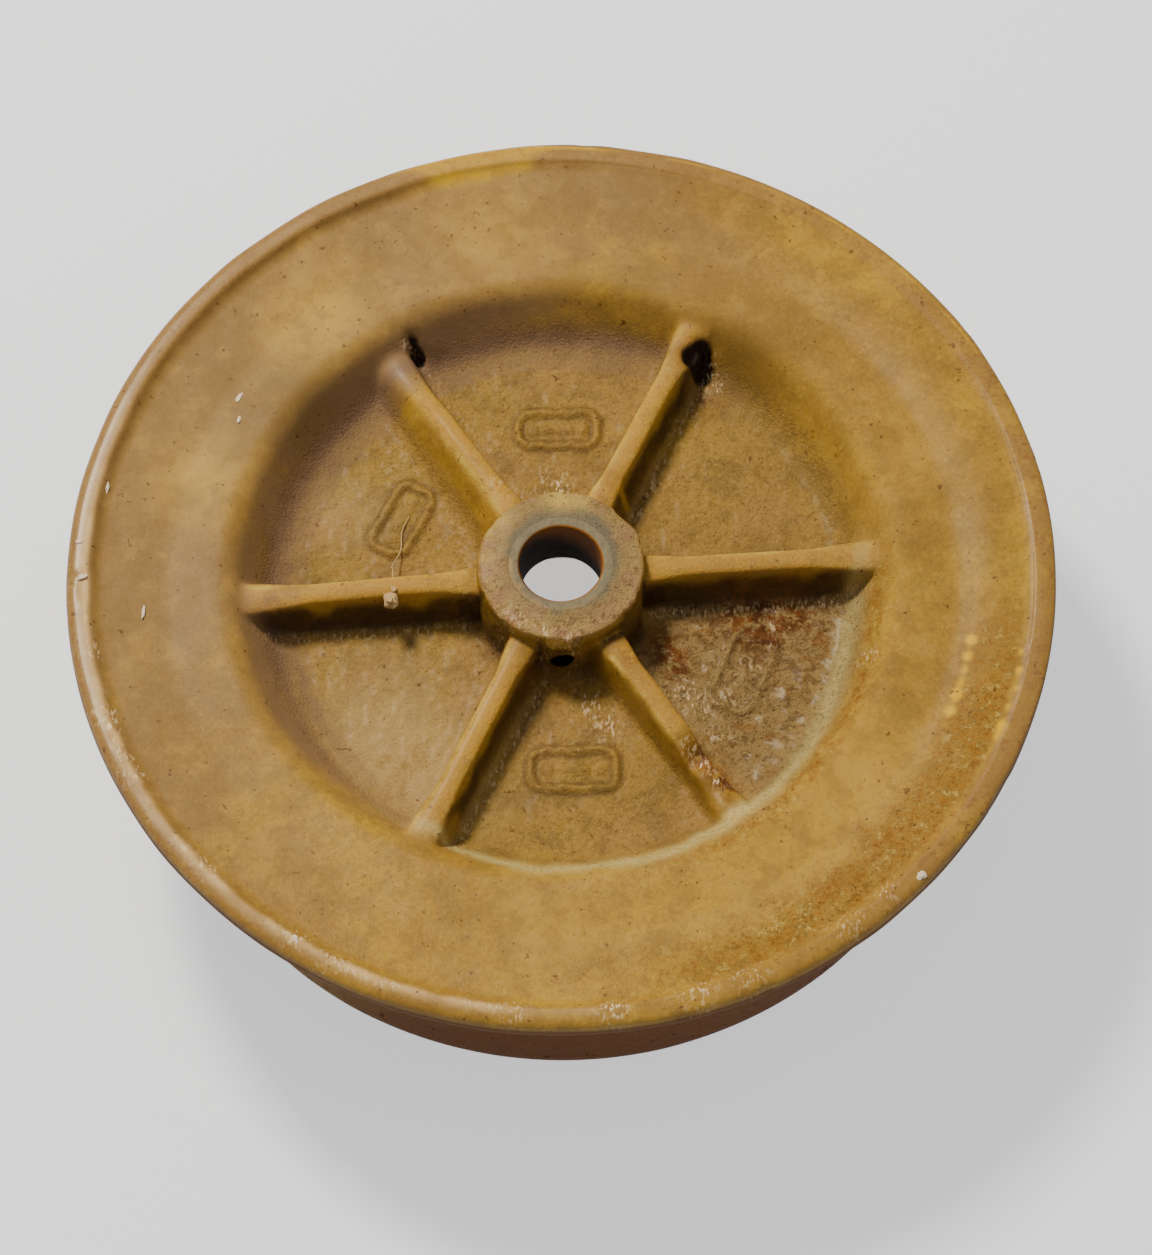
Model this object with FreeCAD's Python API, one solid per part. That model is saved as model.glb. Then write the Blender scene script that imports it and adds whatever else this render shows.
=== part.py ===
import FreeCAD, Part
import math
import os

from FreeCAD import Vector

# A low bench banding wheel: a dished, six-ribbed cast wheel head turning on a hollow flanged
# spindle, over a thrust ball bearing, on a drum-shaped cast base with three rubber feet.
# Millimetres. Z is the turning axis, upwards. The origin is on the axis, on the bench under the feet.

# ---- driving dimensions ------------------------------------------------------------------------
wheel_d = 228.6             # wheel head over its lip
stand_h = 66.7              # bench to the wheel head's lip
pin_bore_d = 19.05          # bore of the hub bushing, which takes a bat's pin
bushing_d = 24.0            # outside of the hub bushing
base_d = 196.0              # cast base at its foot
running_gap = 0.04          # radial clearance of a turning fit
ribs = 6
first_rib = 3.4             # degrees from +X

# ---- wheel head --------------------------------------------------------------------------------
wheel_r = wheel_d / 2
lip_w = 5.7                 # radial width of the rolled lip
lip_t = 5.4                 # height of the lip's outer edge
dish_drop = 3.4             # lowest line of the dish under the lip
dish_low_r = 0.80 * wheel_r
shoulder_r = 0.665 * wheel_r
shoulder_drop = 3.0
web_r = 0.581 * wheel_r     # foot of the recess wall
web_drop = 16.5
wall_t = 4.2                # thickness of the web and the dish
hub_r = 19.05
web_top = stand_h - web_drop
web_under = web_top - wall_t
rib_w = 6.8
rib_drop_hub = 4.6          # rib's crest under the lip, at the hub
rib_drop_rim = 5.6          # and at its outer end
rib_end_r = shoulder_r - 3.0

# ---- hub bushing and its lock screw ------------------------------------------------------------
bushing_len = 16.0
lock_z = web_top + 6.4      # height of the lock screw's axis
lock_hole_r = 2.5
lock_screw_len = 4.5
lock_pad_r = 1.9
lock_pad_len = 3.2
lock_slot_w = 0.8
lock_slot_depth = 1.1
pad_set_back = 0.15         # pad's nose behind the bushing's bore

# ---- thrust bearing ----------------------------------------------------------------------------
race_in_r = 36.5
race_out_r = 47.5
race_t = 1.8
ball_d = 4.76
balls = 30
ball_pitch_r = (race_in_r + race_out_r) / 2
groove_r = 2.55
groove_depth = 0.5
ball_gap = 0.05
cage_half_t = 0.6
cage_pocket_r = ball_d / 2 + 0.15
cage_rivets_n = balls // 2
rivet_r = 0.6
rivet_head_r = 1.1
rivet_head_t = 0.5
upper_race_z = web_under - race_t
ball_z = upper_race_z + groove_depth - ball_gap - ball_d / 2
lower_race_top = ball_z - ball_d / 2 - ball_gap + groove_depth
seat_z = lower_race_top - race_t    # top of the base, under the lower race

# ---- hollow spindle and wheel boss ---------------------------------------------------------------
spindle_r = 28.0
spindle_in_r = 24.0
flange_r = 36.2
flange_t = 4.0
flange_fillet = 1.5
cup_r = 36.5                # pocket in the base round the spindle
cup_floor_z = seat_z - 17.0
cup_floor_t = 4.0
cup_wall_t = 4.0
cup_eye_r = 26.5            # opening in the pocket's floor
boss_r = 34.6
boss_end_z = web_under - 17.8
spindle_top = web_under - 0.6
snap_z = web_under - 12.4
snap_wire_r = 0.9
snap_open = 24.0            # degrees of the snap ring's gap
screw_pcd_r = 31.6
screw_count = 4
screw_r = 2.0
screw_head_r = 3.6
screw_head_t = 2.4
spring_washer_t = 0.9

# ---- base ----------------------------------------------------------------------------------------
base_r = base_d / 2
foot_gap = 1.5              # bench to the base's rim
base_wall_t = 5.5
plate_t = 4.2
plate_flat_r = 84.0
shoulder_z = seat_z - 8.0
felt_r = 52.5
felt_w = 4.0
felt_slot = 1.5
felt_gap = 0.3

# ---- feet ----------------------------------------------------------------------------------------
feet = {"foot_rear": 90.0, "foot_left": 210.0, "foot_right": 330.0}
foot_pos_r = 80.0
foot_lug_r = 8.5
foot_r = 7.0
foot_sink = 3.0             # depth of the foot's socket in its lug
foot_screw_r = 1.5
foot_head_r = 3.0
foot_head_t = 1.3
foot_head_z = 0.9

# ---- raised cartouches on the web: centre radius, direction, length, width, turn -----------------
cartouches = (
    (43.8, 90.3, 19.5, 9.6, 0.0),
    (42.5, 151.2, 19.0, 9.6, 62.0),
    (44.7, 272.6, 20.5, 10.4, 0.0),
    (46.5, 335.0, 23.0, 11.0, 66.0),
)
cartouche_edge = 1.0
cartouche_h = 0.8


def at(radius, angle, z=0.0):
    """Point at a radius and a direction in degrees."""
    turn = math.radians(angle)
    return Vector(radius * math.cos(turn), radius * math.sin(turn), z)


def corner_points(before, corner, after, rounding):
    """Start, middle and end of the arc that rounds one corner."""
    back = (before - corner).normalize()
    on = (after - corner).normalize()
    half = back.getAngle(on) / 2
    reach = rounding / math.tan(half)
    middle = (back + on).normalize() * (rounding / math.sin(half) - rounding)
    return corner + back * reach, corner + middle, corner + on * reach


def rounded_wire(corners, to_3d):
    """Closed wire through (a, b, rounding) corners; to_3d places a and b in space."""
    spots = [to_3d(a, b) for a, b, rounding in corners]
    edges = []
    start = None
    first = None
    for i, (a, b, rounding) in enumerate(corners):
        if rounding:
            p, q, s = corner_points(spots[i - 1], spots[i], spots[(i + 1) % len(spots)], rounding)
        else:
            p = s = spots[i]
        if start is None:
            first = p
        elif (p - start).Length > 1e-6:
            edges.append(Part.makeLine(start, p))
        if rounding:
            edges.append(Part.Arc(p, q, s).toShape())
        start = s
    if (first - start).Length > 1e-6:
        edges.append(Part.makeLine(start, first))
    return Part.Wire(edges)


def turned(corners):
    """Solid of revolution about Z from its half section, as (radius, height, rounding) corners."""
    wire = rounded_wire(corners, lambda r, z: Vector(r, 0, z))
    return Part.Face(wire).revolve(Vector(0, 0, 0), Vector(0, 0, 1), 360)


def plate(corners, z, thickness):
    """Flat plate with a rounded outline, standing on height z."""
    wire = rounded_wire(corners, lambda x, y: Vector(x, y, z))
    return Part.Face(wire).extrude(Vector(0, 0, thickness))


def rod(radius, start, end):
    """Cylinder between two points."""
    return Part.makeCylinder(radius, (end - start).Length, start, end - start)


def ring_groove(pitch_r, z, radius):
    """Torus, to cut a round groove or to be a round wire."""
    return Part.makeTorus(pitch_r, radius, Vector(0, 0, z), Vector(0, 0, 1))


def rib():
    """One rib along +X from inside the hub to inside the recess wall, with a rounded crest."""
    crest_in = stand_h - rib_drop_hub
    crest_out = stand_h - rib_drop_rim
    side = (
        (hub_r - 4, web_under + 1, 0),
        (shoulder_r + 2, web_under + 1, 0),
        (shoulder_r + 2, crest_out, 0),
        (rib_end_r, crest_out, 0),
        (hub_r - 4, crest_in, 0),
    )
    wire = rounded_wire(side, lambda x, z: Vector(x, -rib_w / 2, z))
    bar = Part.Face(wire).extrude(Vector(0, rib_w, 0))
    crest = [e for e in bar.Edges if e.BoundBox.ZMin > crest_out - 0.1 and e.BoundBox.YLength < 0.1]
    crest = [e for e in crest if e.BoundBox.XLength > 5]
    return bar.makeFillet(rib_w * 0.42, crest)


def cartouche(length, width):
    """Raised rounded frame, unlettered, with a plain bar and two studs inside."""
    outer = length / 2
    across = width / 2
    corner = across * 0.7
    low = web_top - 1.0

    def outline(inset):
        a = outer - inset
        b = across - inset
        c = max(corner - inset, 0.3)
        return ((-a, -b, c), (a, -b, c), (a, b, c), (-a, b, c))

    frame = plate(outline(0), low, 1.0 + cartouche_h)
    frame = frame.cut(plate(outline(cartouche_edge), low - 1, 4.0))
    bar = Part.makeBox(length * 0.34, 1.4, 0.6 + 1.0, Vector(-length * 0.17, -0.7, low))
    studs = [
        Part.makeCylinder(width * 0.13, 0.6 + 1.0, Vector(side * length * 0.29, 0, low))
        for side in (-1, 1)
    ]
    return [frame, bar, *studs]


def recess_skin():
    """Space above the dish, used to trim the ribs flush with the recess wall and the dish."""
    return turned((
        (0, web_under + 0.5, 0),
        (web_r + 3.0, web_under + 0.5, 0),
        (shoulder_r + 1.0, stand_h - shoulder_drop - 0.8, 0),
        (shoulder_r + 4.0, stand_h - shoulder_drop - 0.8, 0),
        (shoulder_r + 4.0, stand_h, 0),
        (0, stand_h, 0),
    ))


def wheel_head():
    """Cast wheel: hub, web with ribs and cartouches, dish, lip, and the boss under the web."""
    lip_in = wheel_r - lip_w
    under_lip = stand_h - lip_t
    seat = race_out_r + 12
    body = turned((
        (bushing_d / 2, stand_h, 0),
        (hub_r, stand_h, 1.0),
        (hub_r + 1.4, web_top, 3.0),
        (web_r, web_top, 10.0),
        (shoulder_r, stand_h - shoulder_drop, 7.0),
        (dish_low_r, stand_h - dish_drop, 60.0),
        (lip_in - 1.2, stand_h - 2.0, 5.0),
        (lip_in + 0.6, stand_h, 1.6),
        (wheel_r, stand_h, 2.4),
        (wheel_r, under_lip, 2.0),
        (lip_in - 1.5, under_lip, 3.0),
        (dish_low_r, stand_h - dish_drop - wall_t, 60.0),
        (shoulder_r + 3.8, stand_h - shoulder_drop - wall_t, 4.0),
        (web_r + 3.4, web_under, 4.0),
        (seat, web_under, 0),
        (boss_r, web_under, 1.0),
        (boss_r, boss_end_z, 0.8),
        (spindle_r + running_gap, boss_end_z, 0),
        (spindle_r + running_gap, web_under, 0),
        (bushing_d / 2, web_under, 0),
    ))
    keep = recess_skin()
    bore = rod(bushing_d / 2 + 1, Vector(0, 0, 0), Vector(0, 0, stand_h + 1))
    one = rib().common(keep).cut(bore)
    extras = []
    for i in range(ribs):
        copy = one.copy()
        copy.rotate(Vector(0, 0, 0), Vector(0, 0, 1), first_rib + i * 360 / ribs)
        extras.append(copy)
    for radius, direction, length, width, turn in cartouches:
        for piece in cartouche(length, width):
            piece.rotate(Vector(0, 0, 0), Vector(0, 0, 1), turn)
            piece.translate(at(radius, direction))
            extras.append(piece)
    body = body.multiFuse(extras)
    hole = rod(lock_hole_r, Vector(0, 0, lock_z), Vector(0, -hub_r - 6, lock_z))
    body = body.cut(hole)
    body = body.cut(ring_groove(spindle_r, snap_z, snap_wire_r + 0.35))
    return body.removeSplitter()


def hub_bushing():
    """Steel bushing pressed into the hub, with a hole for the lock pad."""
    low = stand_h - bushing_len
    inner = pin_bore_d / 2
    body = turned((
        (inner, low, 0),
        (bushing_d / 2, low, 0),
        (bushing_d / 2, stand_h, 0),
        (inner + 0.4, stand_h, 0),
        (inner, stand_h - 0.4, 0),
    ))
    return body.cut(rod(lock_hole_r, Vector(0, 0, lock_z), Vector(0, -bushing_d, lock_z)))


def lock_pad():
    """Brass pad ahead of the lock screw. Its nose is rounded to the pin's radius."""
    nose = -(pin_bore_d / 2 + pad_set_back)
    body = rod(lock_pad_r, Vector(0, nose + 1.0, lock_z), Vector(0, nose - lock_pad_len, lock_z))
    return body.cut(rod(-nose, Vector(0, 0, 0), Vector(0, 0, stand_h)))


def hub_lock_screw():
    """Slotted headless screw behind the pad."""
    start = -(pin_bore_d / 2 + pad_set_back) - lock_pad_len - 0.05
    end = start - lock_screw_len
    body = rod(lock_hole_r - running_gap, Vector(0, start, lock_z), Vector(0, end, lock_z))
    slot = Part.makeBox(
        lock_hole_r * 3,
        lock_slot_depth,
        lock_slot_w,
        Vector(-lock_hole_r * 1.5, end, lock_z - lock_slot_w / 2),
    )
    return body.cut(slot)


def race(z):
    """Flat hardened washer with no groove yet, its lower face at z."""
    return turned((
        (race_in_r, z, 0.4),
        (race_out_r, z, 0.4),
        (race_out_r, z + race_t, 0.4),
        (race_in_r, z + race_t, 0.4),
    ))


def upper_race():
    """Washer fixed under the web."""
    groove_z = upper_race_z + groove_depth - groove_r
    return race(upper_race_z).cut(ring_groove(ball_pitch_r, groove_z, groove_r))


def lower_race():
    """Washer lying on the base."""
    groove_z = lower_race_top - groove_depth + groove_r
    return race(seat_z).cut(ring_groove(ball_pitch_r, groove_z, groove_r))


def ball_centres():
    """Centres of the balls, evenly round the bearing."""
    return [at(ball_pitch_r, 360 / balls * i, ball_z) for i in range(balls)]


def cage_rivet_spots():
    """Rivet positions, in every second gap between the balls."""
    return [at(ball_pitch_r, 360 / balls * (2 * i + 0.5), ball_z) for i in range(cage_rivets_n)]


def cage_half(side):
    """One of the cage's two flat brass rings, above (+1) or below (-1) the balls' centres."""
    low = ball_z if side > 0 else ball_z - cage_half_t
    body = turned((
        (race_in_r + 0.6, low, 0),
        (race_out_r - 0.6, low, 0),
        (race_out_r - 0.6, low + cage_half_t, 0),
        (race_in_r + 0.6, low + cage_half_t, 0),
    ))
    cuts = [
        rod(cage_pocket_r, centre - Vector(0, 0, 2), centre + Vector(0, 0, 2))
        for centre in ball_centres()
    ]
    cuts += [
        rod(rivet_r, spot - Vector(0, 0, 2), spot + Vector(0, 0, 2))
        for spot in cage_rivet_spots()
    ]
    return body.cut(Part.makeCompound(cuts))


def cage_rivets():
    """Brass rivets that hold the cage's halves together."""
    up = Vector(0, 0, 1)
    rivets = []
    for spot in cage_rivet_spots():
        body = rod(rivet_r, spot - up * cage_half_t, spot + up * cage_half_t)
        for side in (-1, 1):
            inner = spot + up * (cage_half_t * side)
            body = body.fuse(rod(rivet_head_r, inner, inner + up * (rivet_head_t * side)))
        rivets.append(body)
    return Part.makeCompound(rivets)


def bearing_balls():
    """The balls, as separate solids."""
    return Part.makeCompound([Part.makeSphere(ball_d / 2, centre) for centre in ball_centres()])


def spindle_screw_centres():
    """Screw positions under the spindle's flange."""
    return [at(screw_pcd_r, 45 + 360 / screw_count * i) for i in range(screw_count)]


def spindle():
    """Hollow steel spindle with a bolting flange and the snap ring's groove."""
    flange_top = cup_floor_z + flange_t
    body = turned((
        (spindle_in_r, cup_floor_z, 0.5),
        (flange_r, cup_floor_z, 0.5),
        (flange_r, flange_top, 0.5),
        (spindle_r, flange_top, flange_fillet),
        (spindle_r, spindle_top, 0.8),
        (spindle_in_r, spindle_top, 0.5),
    ))
    for centre in spindle_screw_centres():
        body = body.cut(rod(screw_r, centre, centre + Vector(0, 0, stand_h)))
    return body.cut(ring_groove(spindle_r, snap_z, snap_wire_r + 0.1))


def snap_ring():
    """Open ring of round spring wire that keeps the wheel head on its spindle."""
    body = ring_groove(spindle_r, snap_z, snap_wire_r)
    gap = plate(
        (
            (0, 0, 0),
            (spindle_r * 2, -math.tan(math.radians(snap_open / 2)) * spindle_r * 2, 0),
            (spindle_r * 2, math.tan(math.radians(snap_open / 2)) * spindle_r * 2, 0),
        ),
        snap_z - 3,
        6,
    )
    return body.cut(gap)


def spindle_screws():
    """Cheese-head screws from below, through the pocket's floor into the flange."""
    seat = cup_floor_z - cup_floor_t - spring_washer_t
    screws = []
    for centre in spindle_screw_centres():
        low = centre + Vector(0, 0, seat)
        shank = rod(screw_r - running_gap, low, centre + Vector(0, 0, cup_floor_z + 3.6))
        head = rod(screw_head_r, low - Vector(0, 0, screw_head_t), low)
        slot = Part.makeBox(
            screw_head_r * 3, 1.0, 1.2, centre + Vector(-screw_head_r * 1.5, -0.5, seat - screw_head_t)
        )
        screws.append(shank.fuse(head).cut(slot).removeSplitter())
    return Part.makeCompound(screws)


def spring_washers():
    """Split washers under the spindle screws' heads."""
    top = cup_floor_z - cup_floor_t
    washers = []
    for centre in spindle_screw_centres():
        low = centre + Vector(0, 0, top - spring_washer_t)
        body = Part.makeCylinder(screw_head_r - 0.1, spring_washer_t, low)
        body = body.cut(Part.makeCylinder(screw_r + 0.1, spring_washer_t, low))
        split = Part.makeBox(screw_head_r, 0.5, spring_washer_t, low + Vector(0, -0.25, 0))
        washers.append(body.cut(split))
    return Part.makeCompound(washers)


def base_casting():
    """Hollow cast base: drum, top plate with the bearing seat, and the spindle's pocket."""
    wall_in = base_r - base_wall_t
    cup_out = cup_r + cup_wall_t
    under = seat_z - plate_t
    floor_low = cup_floor_z - cup_floor_t
    body = turned((
        (cup_eye_r, floor_low, 0.6),
        (cup_eye_r, cup_floor_z, 0.6),
        (cup_r, cup_floor_z, 0),
        (cup_r, seat_z, 0.6),
        (plate_flat_r, seat_z, 10.0),
        (base_r - 3.0, shoulder_z, 7.0),
        (base_r, foot_gap, 1.6),
        (wall_in, foot_gap, 1.0),
        (wall_in - 2.0, shoulder_z - plate_t, 5.0),
        (plate_flat_r - 2.0, under, 4.0),
        (cup_out, under, 3.0),
        (cup_out, floor_low, 1.5),
    ))
    for angle in feet.values():
        centre = at(foot_pos_r, angle)
        lug = rod(foot_lug_r, centre + Vector(0, 0, foot_gap), centre + Vector(0, 0, under + 0.1))
        body = body.fuse(lug)
    for angle in feet.values():
        centre = at(foot_pos_r, angle)
        socket = rod(foot_r + 0.1, centre, centre + Vector(0, 0, foot_gap + foot_sink))
        hole = rod(foot_screw_r, centre, centre + Vector(0, 0, foot_gap + foot_sink + 10))
        body = body.cut(socket).cut(hole)
    for centre in spindle_screw_centres():
        body = body.cut(rod(screw_r + 0.2, centre, centre + Vector(0, 0, cup_floor_z + 1)))
    slot = turned((
        (felt_r - felt_w / 2, seat_z - felt_slot, 0),
        (felt_r + felt_w / 2, seat_z - felt_slot, 0),
        (felt_r + felt_w / 2, seat_z + 2, 0),
        (felt_r - felt_w / 2, seat_z + 2, 0),
    ))
    return body.cut(slot).removeSplitter()


def dust_felt():
    """Felt ring in a groove of the base, reaching up to the web to keep slip out of the bearing."""
    low = seat_z - felt_slot
    high = web_under - felt_gap
    return turned((
        (felt_r - felt_w / 2, low, 0),
        (felt_r + felt_w / 2, low, 0),
        (felt_r + felt_w / 2, high, 0.5),
        (felt_r - felt_w / 2, high, 0.5),
    ))


def rubber_foot(angle):
    """Round rubber foot with a sunk screw hole."""
    top = foot_gap + foot_sink
    head_seat = foot_head_z + foot_head_t
    body = turned((
        (foot_screw_r + 0.1, head_seat, 0),
        (foot_head_r + 0.2, head_seat, 0),
        (foot_head_r + 0.2, 0, 0),
        (foot_r - 0.4, 0, 0.8),
        (foot_r, top, 0),
        (foot_screw_r + 0.1, top, 0),
    ))
    body.translate(at(foot_pos_r, angle))
    return body


def foot_screws():
    """Pan-head screws that hold the feet."""
    screws = []
    for angle in feet.values():
        low = at(foot_pos_r, angle, foot_head_z)
        head = Part.makeCylinder(foot_head_r, foot_head_t, low)
        shank = Part.makeCylinder(foot_screw_r, foot_sink + foot_gap + 8, low)
        screws.append(head.fuse(shank))
    return Part.makeCompound(screws)


def main():
    os.makedirs("parts", exist_ok=True)
    nodes = {
        "wheel_head": wheel_head(),
        "hub_bushing": hub_bushing(),
        "lock_pad": lock_pad(),
        "hub_lock_screw": hub_lock_screw(),
        "upper_race": upper_race(),
        "cage_upper_half": cage_half(1),
        "cage_lower_half": cage_half(-1),
        "cage_rivets": cage_rivets(),
        "bearing_balls": bearing_balls(),
        "lower_race": lower_race(),
        "spindle": spindle(),
        "snap_ring": snap_ring(),
        "spindle_screws": spindle_screws(),
        "spring_washers": spring_washers(),
        "base_casting": base_casting(),
        "dust_felt": dust_felt(),
        "foot_screws": foot_screws(),
    }
    for name, angle in feet.items():
        nodes[name] = rubber_foot(angle)
    for name, shape in nodes.items():
        print(name, "valid", shape.isValid(), "solids", len(shape.Solids), "volume", round(shape.Volume, 1))
        shape.exportStep(f"parts/{name}.step")


main()
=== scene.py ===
import math

import bpy
import numpy as np
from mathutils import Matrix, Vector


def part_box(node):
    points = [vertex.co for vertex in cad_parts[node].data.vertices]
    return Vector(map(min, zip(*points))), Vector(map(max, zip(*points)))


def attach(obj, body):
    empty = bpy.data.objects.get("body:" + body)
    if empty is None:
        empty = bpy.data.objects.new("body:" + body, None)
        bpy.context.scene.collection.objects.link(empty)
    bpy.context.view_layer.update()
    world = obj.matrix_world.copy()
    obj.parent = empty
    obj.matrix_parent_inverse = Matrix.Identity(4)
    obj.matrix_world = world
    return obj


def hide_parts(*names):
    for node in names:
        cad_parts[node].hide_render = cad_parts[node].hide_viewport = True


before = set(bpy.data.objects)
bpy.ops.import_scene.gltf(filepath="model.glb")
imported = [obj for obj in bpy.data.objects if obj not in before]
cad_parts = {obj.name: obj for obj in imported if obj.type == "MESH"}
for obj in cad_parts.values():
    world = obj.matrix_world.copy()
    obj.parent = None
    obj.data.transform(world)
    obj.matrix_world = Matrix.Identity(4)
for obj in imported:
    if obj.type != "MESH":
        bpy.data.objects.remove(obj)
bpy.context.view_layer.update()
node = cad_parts
mm = 0.001

# ---- Base casting ------------------------------------------------------------------------------
# A hollow drum of sand-cast iron, open below, painted ochre-brown. Its top plate carries the
# bearing, and a pocket in the middle takes the spindle's flange. Three lugs inside hold the feet.


def value_noise(p, cell, seed):
    """Random numbers at the corners of cubes of side cell, eased between them: -1 to 1."""
    table = np.random.default_rng(seed).uniform(-1, 1, 4096)
    g = p / cell + 71.3
    low = np.floor(g).astype(np.int64)
    f = g - low
    w = f * f * f * (f * (f * 6 - 15) + 10)
    total = np.zeros(p.shape[:-1])
    for corner in range(8):
        step = np.array([corner & 1, corner >> 1 & 1, corner >> 2 & 1])
        key = ((low + step) * np.array([73, 1543, 8219])).sum(-1)
        key = (key ^ (key >> 7)) * 2654435761 >> 5 & 4095
        total += table[key] * np.prod(np.where(step == 1, w, 1 - w), axis=-1)
    return total


def smooth_step(x, low, high):
    """0 below low, 1 above high, and 3t^2 - 2t^3 between; low may be above high."""
    t = np.clip((x - low) / (high - low), 0, 1)
    return t * t * (3 - 2 * t)


def half_section(corners):
    """Points of a closed half section. Each corner is (radius, height, rounding, step): an arc of
    that rounding replaces the corner, and the run to the next corner is cut into steps."""
    spots = np.array([c[:2] for c in corners], float)
    count = len(corners)
    starts, ends, arcs = [], [], []
    for i, (_, _, rounding, _) in enumerate(corners):
        back = spots[i - 1] - spots[i]
        on = spots[(i + 1) % count] - spots[i]
        back /= np.linalg.norm(back)
        on /= np.linalg.norm(on)
        half = math.acos(np.clip(back @ on, -1, 1)) / 2
        reach = rounding / math.tan(half)
        first, last = spots[i] + back * reach, spots[i] + on * reach
        share = np.linspace(0, 1, 7 if rounding > 3 * mm else 5)[:, None]
        bend = (1 - share) ** 2 * first + 2 * share * (1 - share) * spots[i] + share**2 * last
        starts.append(first)
        ends.append(last)
        arcs.append(bend if rounding else spots[i][None])
    rows = []
    for i, (_, _, _, step) in enumerate(corners):
        rows.append(arcs[i])
        a, b = ends[i], starts[(i + 1) % count]
        parts = max(int(round(np.linalg.norm(b - a) / step)), 1)
        rows.append(a + (b - a) * (np.arange(1, parts) / parts)[:, None])
    points = np.concatenate(rows)
    keep = np.linalg.norm(points - np.roll(points, 1, axis=0), axis=1) > 0.01 * mm
    return points[keep]


def closed_grid(name, points):
    """Mesh of quads over a grid of points that closes on itself both along and around."""
    rows, cols = points.shape[:2]
    i, j = np.meshgrid(np.arange(rows), np.arange(cols), indexing="ij")
    down, right = (i + 1) % rows, (j + 1) % cols
    quads = np.stack([i * cols + j, down * cols + j, down * cols + right, i * cols + right], -1)
    mesh = bpy.data.meshes.new(name)
    mesh.vertices.add(rows * cols)
    mesh.vertices.foreach_set("co", points.astype(np.float32).ravel())
    mesh.loops.add(quads.size)
    mesh.loops.foreach_set("vertex_index", quads.astype(np.int32).ravel())
    mesh.polygons.add(rows * cols)
    mesh.polygons.foreach_set("loop_start", np.arange(0, quads.size, 4, dtype=np.int32))
    mesh.polygons.foreach_set("use_smooth", np.ones(rows * cols, bool))
    mesh.update(calc_edges=True)
    piece = bpy.data.objects.new(name, mesh)
    bpy.context.scene.collection.objects.link(piece)
    return piece


def mark(piece, name, values):
    """Stores one number for each vertex, for the material to read."""
    layer = piece.data.attributes.new(name, "FLOAT", "POINT")
    layer.data.foreach_set("value", np.asarray(values, np.float32).ravel())


class Wire:
    """An output socket of a material. Arithmetic on it adds Math nodes."""

    def __init__(self, tree, socket):
        self.tree = tree
        self.socket = socket

    def node(self, kind, sockets=None, out=0, **settings):
        """Adds a node: its settings first, then the values or links of its sockets."""
        made = self.tree.nodes.new(kind)
        for key, value in settings.items():
            setattr(made, key, value)
        for key, value in (sockets or {}).items():
            if isinstance(value, Wire):
                self.tree.links.new(value.socket, made.inputs[key])
            elif isinstance(value, tuple) and len(value) == 3 and made.inputs[key].type == "RGBA":
                made.inputs[key].default_value = (*value, 1)
            else:
                made.inputs[key].default_value = value
        return Wire(self.tree, made.outputs[out])

    def math(self, operation, a, b=0.0):
        return self.node("ShaderNodeMath", {0: a, 1: b}, operation=operation)

    def __add__(self, other):
        return self.math("ADD", self, other)

    __radd__ = __add__

    def __mul__(self, other):
        return self.math("MULTIPLY", self, other)

    __rmul__ = __mul__

    def __sub__(self, other):
        return self.math("SUBTRACT", self, other)

    def __rsub__(self, other):
        return self.math("SUBTRACT", other, self)

    def __pow__(self, other):
        return self.math("POWER", self, other)

    def ease(self, low, high):
        """0 below low and 1 above high, eased between; low may be above high."""
        sockets = {"Value": self, "From Min": low, "From Max": high}
        return self.node("ShaderNodeMapRange", sockets, interpolation_type="SMOOTHSTEP")

    def speckle(self, size, detail=2.0, rough=0.5):
        """Noise from 0 to 1 whose grains are about size metres across, at this place."""
        sockets = {"Vector": self, "Scale": 1 / size, "Detail": detail, "Roughness": rough}
        return self.node("ShaderNodeTexNoise", sockets)

    def over(self, base, top):
        """Colour base where this mask is 0, top where it is 1."""
        return self.node("ShaderNodeMix", {0: self, 6: base, 7: top}, out=2, data_type="RGBA")

    def parts(self):
        """The x, y and z of this vector."""
        split = self.tree.nodes.new("ShaderNodeSeparateXYZ")
        self.tree.links.new(self.socket, split.inputs[0])
        return [Wire(self.tree, socket) for socket in split.outputs]


def new_material(name):
    """A material, its shader node, and a Wire of the object's own coordinates."""
    made = bpy.data.materials.new(name)
    made.use_nodes = True
    tree = made.node_tree
    shader = tree.nodes["Principled BSDF"]
    place = Wire(tree, tree.nodes.new("ShaderNodeTexCoord").outputs["Object"])
    return made, shader, place


def connect(shader, **links):
    """Links or sets the shader's sockets; Base_Color stands for Base Color."""
    for key, value in links.items():
        target = shader.inputs[key.replace("_", " ")]
        if isinstance(value, Wire):
            value.tree.links.new(value.socket, target)
        else:
            target.default_value = value


def bump(height, depth, normal=None):
    """Bump of that depth in metres where height goes from 0 to 1."""
    sockets = {"Height": height, "Distance": depth, "Strength": 1.0}
    if normal:
        sockets["Normal"] = normal
    return height.node("ShaderNodeBump", sockets)


base_low, base_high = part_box("base_casting")
base_r = base_high.x
seat_z = base_high.z
rim_z = base_low.z
cup_r, cup_out = 36.5 * mm, 40.5 * mm
cup_floor = seat_z - 17 * mm
cup_under = cup_floor - 4 * mm
plate_under = seat_z - 4.2 * mm
lug_angles = np.radians([90, 210, 330])
lug_pos, lug_r = 80 * mm, 8.5 * mm


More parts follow.
